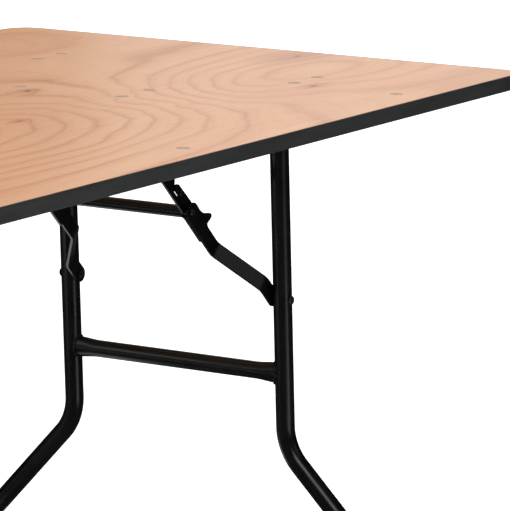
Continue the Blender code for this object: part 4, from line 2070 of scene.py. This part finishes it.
    def joggle(self, along: float) -> float:
        """How far the lower bar lies to the right.

        Args:
            along: Distance along it from the knuckle.

        Returns:
            Distance of its middle from the middle of the table.
        """
        near, far, ease = self.lower_inner + self.thickness / 2, self.plate_side, self.joggle_ease
        rise = (far - near) / (self.joggle_to - self.joggle_from)

        def ramp(x: float) -> float:
            """A ramp that starts at 0, with its start rounded off.

            Args:
                x: Distance past the start.

            Returns:
                The ramp's height.
            """
            if abs(x) >= ease:
                return max(x, 0.0)
            return (x + ease) ** 2 / (4.0 * ease)

        return near + rise * (ramp(along - self.joggle_from) - ramp(along - self.joggle_to))

    def lower_bar(self) -> bpy.types.Mesh:
        """A lower bar, which steps outwards to the leg and has a narrow tail past the knuckle.

        Returns:
            A closed mesh.
        """
        half, tail, length = self.width / 2, self.tail_width / 2, self.lower_length
        outline = arc((length, 0.0), half, -90.0, 90.0, 18)
        outline.append((-0.012, half))
        outline += arc((tail - self.tail, half - tail - self.tail_drop), tail, 90.0, 270.0, 10)
        outline += arc((0.0, 0.0), half, 183.0, 270.0, 9)
        loops = [outline, circle((0.0, 0.0), 0.0035), circle((length, 0.0), 0.0042)]
        cuts = []
        for bend in (self.joggle_from, self.joggle_to):
            cuts += [((bend + self.joggle_ease * k / 3, 0.0), (1.0, 0.0)) for k in range(-3, 4)]

        def lay(s: float, n: float) -> Vector:
            """Lays a point of the flat blank along the stepped bar."""
            return self.on_bar(self.places.knuckle, s, n, self.joggle(s))

        return pressed_sheet(loops, cuts, lay, self.thickness, "lower_bar")

    def knuckle_tube(self) -> bpy.types.Mesh:
        """The tube that spaces the two upper bars at the knuckle.

        Returns:
            A closed mesh.
        """
        half = self.upper_inner - self.gap
        knuckle = self.places.knuckle
        path = [Vector((knuckle.x, y, knuckle.z)) for y in (-half, -half / 2, 0.0, half / 2, half)]
        return hollow_tube(path, self.tube_radius, 0.0012, 36, "knuckle_tube")

    def tube_weld(self) -> bpy.types.Mesh:
        """A small weld between the knuckle tube and the right-hand upper bar.

        Returns:
            A closed mesh.
        """
        count, sides = 60, 8
        centre = self.places.knuckle
        radius = self.tube_radius + 0.0003
        side = self.upper_inner - 0.0006
        path = []
        for k in range(count):
            t = TAU * k / count
            path.append(Vector((centre.x + radius * math.cos(t), -side, centre.z + radius * math.sin(t))))
        frames = path_frames(path, closed=True)
        rings = []
        for i, (point, (across, over)) in enumerate(zip(path, frames)):
            r = 0.0010 + 0.0002 * abs(math.sin(math.pi * i / 3.0))
            turns = (TAU * k / sides for k in range(sides))
            rings.append([point + across * (r * math.cos(t)) + over * (r * math.sin(t)) for t in turns])
        return skin(rings, True, "tube_weld")

    def lock_lever(self) -> bpy.types.Mesh:
        """A lock lever: a thumb tab, and a flange bent in under the lower bar.

        Returns:
            A closed mesh.
        """
        face = self.lower_outer + self.gap + self.lever_thickness / 2
        fold, bend = -0.0098, self.lever_bend
        arc_length = bend * math.pi / 2
        depth = face - bend - self.lower_inner
        low = fold - arc_length - depth
        outline = [(self.lever[0][0], low), *self.lever, (self.lever[-1][0], low)]
        cuts = [((0.0, fold - arc_length * k / 4), (0.0, 1.0)) for k in range(5)]
        cuts += [((0.0, 0.0142 + 0.0022 * k), (0.0, 1.0)) for k in range(4)]
        start = self.places.knuckle

        def shape(s: float, n: float) -> Vector:
            """Curls the thumb tab and bends the flange in.

            Args:
                s: A point's distance along the bar.
                n: Its distance across the bar.

            Returns:
                Where the point goes.
            """
            if n >= fold:
                curl = 0.0014 * smooth_step(n, 0.0135, 0.0235)
                return self.on_bar(start, s, n, face + curl)
            turn = min((fold - n) / bend, math.pi / 2)
            rest = max(fold - n - arc_length, 0.0)
            side = face - bend * (1.0 - math.cos(turn)) - rest
            return self.on_bar(start, s, fold - bend * math.sin(turn), side)

        loops = [outline, circle((0.0, 0.0), 0.0035)]
        return pressed_sheet(loops, cuts, shape, self.lever_thickness, "lever")


# Studio ---------------------------------------------------------------------------------------------


@dataclass(frozen=True)
class Lamp:
    """A flat soft lamp: where it stands, what it faces, its width and height, and its power in watts."""

    name: str
    place: Point3
    target: Point3
    size: Point2
    power: float


@dataclass
class Studio:
    """A pale floor, soft lights and the camera."""

    eye: Point3 = (-3.372, -2.872, 1.534)
    heading: float = 32.15
    pitch: float = 10.87
    roll: float = 0.05
    focal: float = 303.92
    sky: float = 0.90
    half_floor: float = 30.0
    lamps: tuple[Lamp, ...] = (
        Lamp("key", (-3.5, -4.0, 4.5), (0.2, 0.0, 0.5), (3.0, 3.0), 150.0),
        Lamp("fill", (-4.5, 3.0, 3.5), (-0.2, 0.0, 0.5), (3.0, 3.0), 70.0),
        Lamp("near_panel", (0.8, -1.65, 0.012), (0.8, -1.60, 2.0), (0.5, 2.1), 8.0),
        Lamp("far_panel", (-0.8, 1.65, 0.012), (-0.8, 1.60, 2.0), (0.5, 2.1), 8.0),
        Lamp("near_screen", (2.05, -4.5, 2.63), (0.95, -0.12, 0.55), (2.0, 2.0), 8.0),
        Lamp("far_screen", (-2.05, 4.5, 2.63), (-0.95, 0.12, 0.55), (2.0, 2.0), 8.0),
        Lamp("near_glow", (1.05, 0.46, 0.012), (1.05, 0.47, 2.0), (0.40, 0.30), 0.6),
        Lamp("far_glow", (-1.05, -0.46, 0.012), (-1.05, -0.47, 2.0), (0.40, 0.30), 0.6),
        Lamp("back", (7.0, 2.58, 2.3), (0.6, 0.0, 0.76), (2.8, 3.0), 25.0),
        Lamp("bounce", (0.0, 0.0, 0.01), (0.0, 0.0, 2.0), (7.0, 7.0), 6.0),
    )

    def build(self) -> None:
        """Builds the whole studio."""
        self.floor()
        self.world()
        for lamp in self.lamps:
            self.hang(lamp)
        self.camera()
        bpy.context.scene.view_settings.view_transform = "Standard"

    def floor(self) -> None:
        """The floor under the table."""
        half = self.half_floor
        mesh = bpy.data.meshes.new("studio_floor")
        corners = [(-half, -half, 0.0), (half, -half, 0.0), (half, half, 0.0), (-half, half, 0.0)]
        mesh.from_pydata(corners, [], [(0, 1, 2, 3)])
        mesh.materials.append(FloorFinish().material())
        floor = bpy.data.objects.new("studio_floor", mesh)
        floor.location.z = -0.0004
        floor.visible_glossy = False
        floor.visible_diffuse = False
        bpy.context.scene.collection.objects.link(floor)

    def world(self) -> None:
        """Even white light from all round."""
        world = bpy.data.worlds.new("studio")
        world.use_nodes = True
        background = world.node_tree.nodes["Background"]
        background.inputs["Color"].default_value = (1.0, 1.0, 1.0, 1.0)
        background.inputs["Strength"].default_value = self.sky
        world.cycles_visibility.glossy = False
        bpy.context.scene.world = world

    def hang(self, lamp: Lamp) -> None:
        """Adds a lamp, which the camera doesn't see.

        Args:
            lamp: The lamp.
        """
        light = bpy.data.lights.new(lamp.name, "AREA")
        light.shape = "RECTANGLE"
        light.size, light.size_y = lamp.size
        light.energy = lamp.power
        holder = bpy.data.objects.new(lamp.name, light)
        holder.location = lamp.place
        holder.visible_camera = False
        ahead = Vector(lamp.target) - Vector(lamp.place)
        holder.rotation_euler = ahead.to_track_quat("-Z", "Y").to_euler()
        bpy.context.scene.collection.objects.link(holder)

    def camera(self) -> None:
        """The camera at its fitted place."""
        heading, pitch, roll = (math.radians(a) for a in (self.heading, self.pitch, self.roll))
        ahead = Vector(
            (math.cos(pitch) * math.cos(heading), math.cos(pitch) * math.sin(heading), -math.sin(pitch))
        )
        right = Vector((math.sin(heading), -math.cos(heading), 0.0))
        up = right.cross(ahead)
        turn = Matrix((right, up, -ahead)).transposed().to_4x4() @ Matrix.Rotation(roll, 4, "Z")
        data = bpy.data.cameras.new("camera")
        data.lens = self.focal
        data.sensor_width = 36.0
        data.clip_end = 200.0
        camera = bpy.data.objects.new("camera", data)
        camera.matrix_world = Matrix.Translation(self.eye) @ turn
        bpy.context.scene.collection.objects.link(camera)
        bpy.context.scene.camera = camera


def main() -> None:
    """Builds the table's looks and its studio."""
    logging.basicConfig(level=logging.INFO, format="%(name)s: %(message)s")
    for obj in list(bpy.data.objects):
        bpy.data.objects.remove(obj, do_unlink=True)
    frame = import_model()
    places = Places.read(frame, LegFrames.radius)
    shop = Workshop(Finishes())
    for assembly in (Top(places, shop), LegFrames(places, shop), Braces(places, shop)):
        count = len(shop.made)
        assembly.build()
        LOG.info("%s: %d pieces", type(assembly).__name__, len(shop.made) - count)
    Studio().build()
    for name in shop.made:
        LOG.info("piece %s", name)


if __name__ == "__main__":
    main()
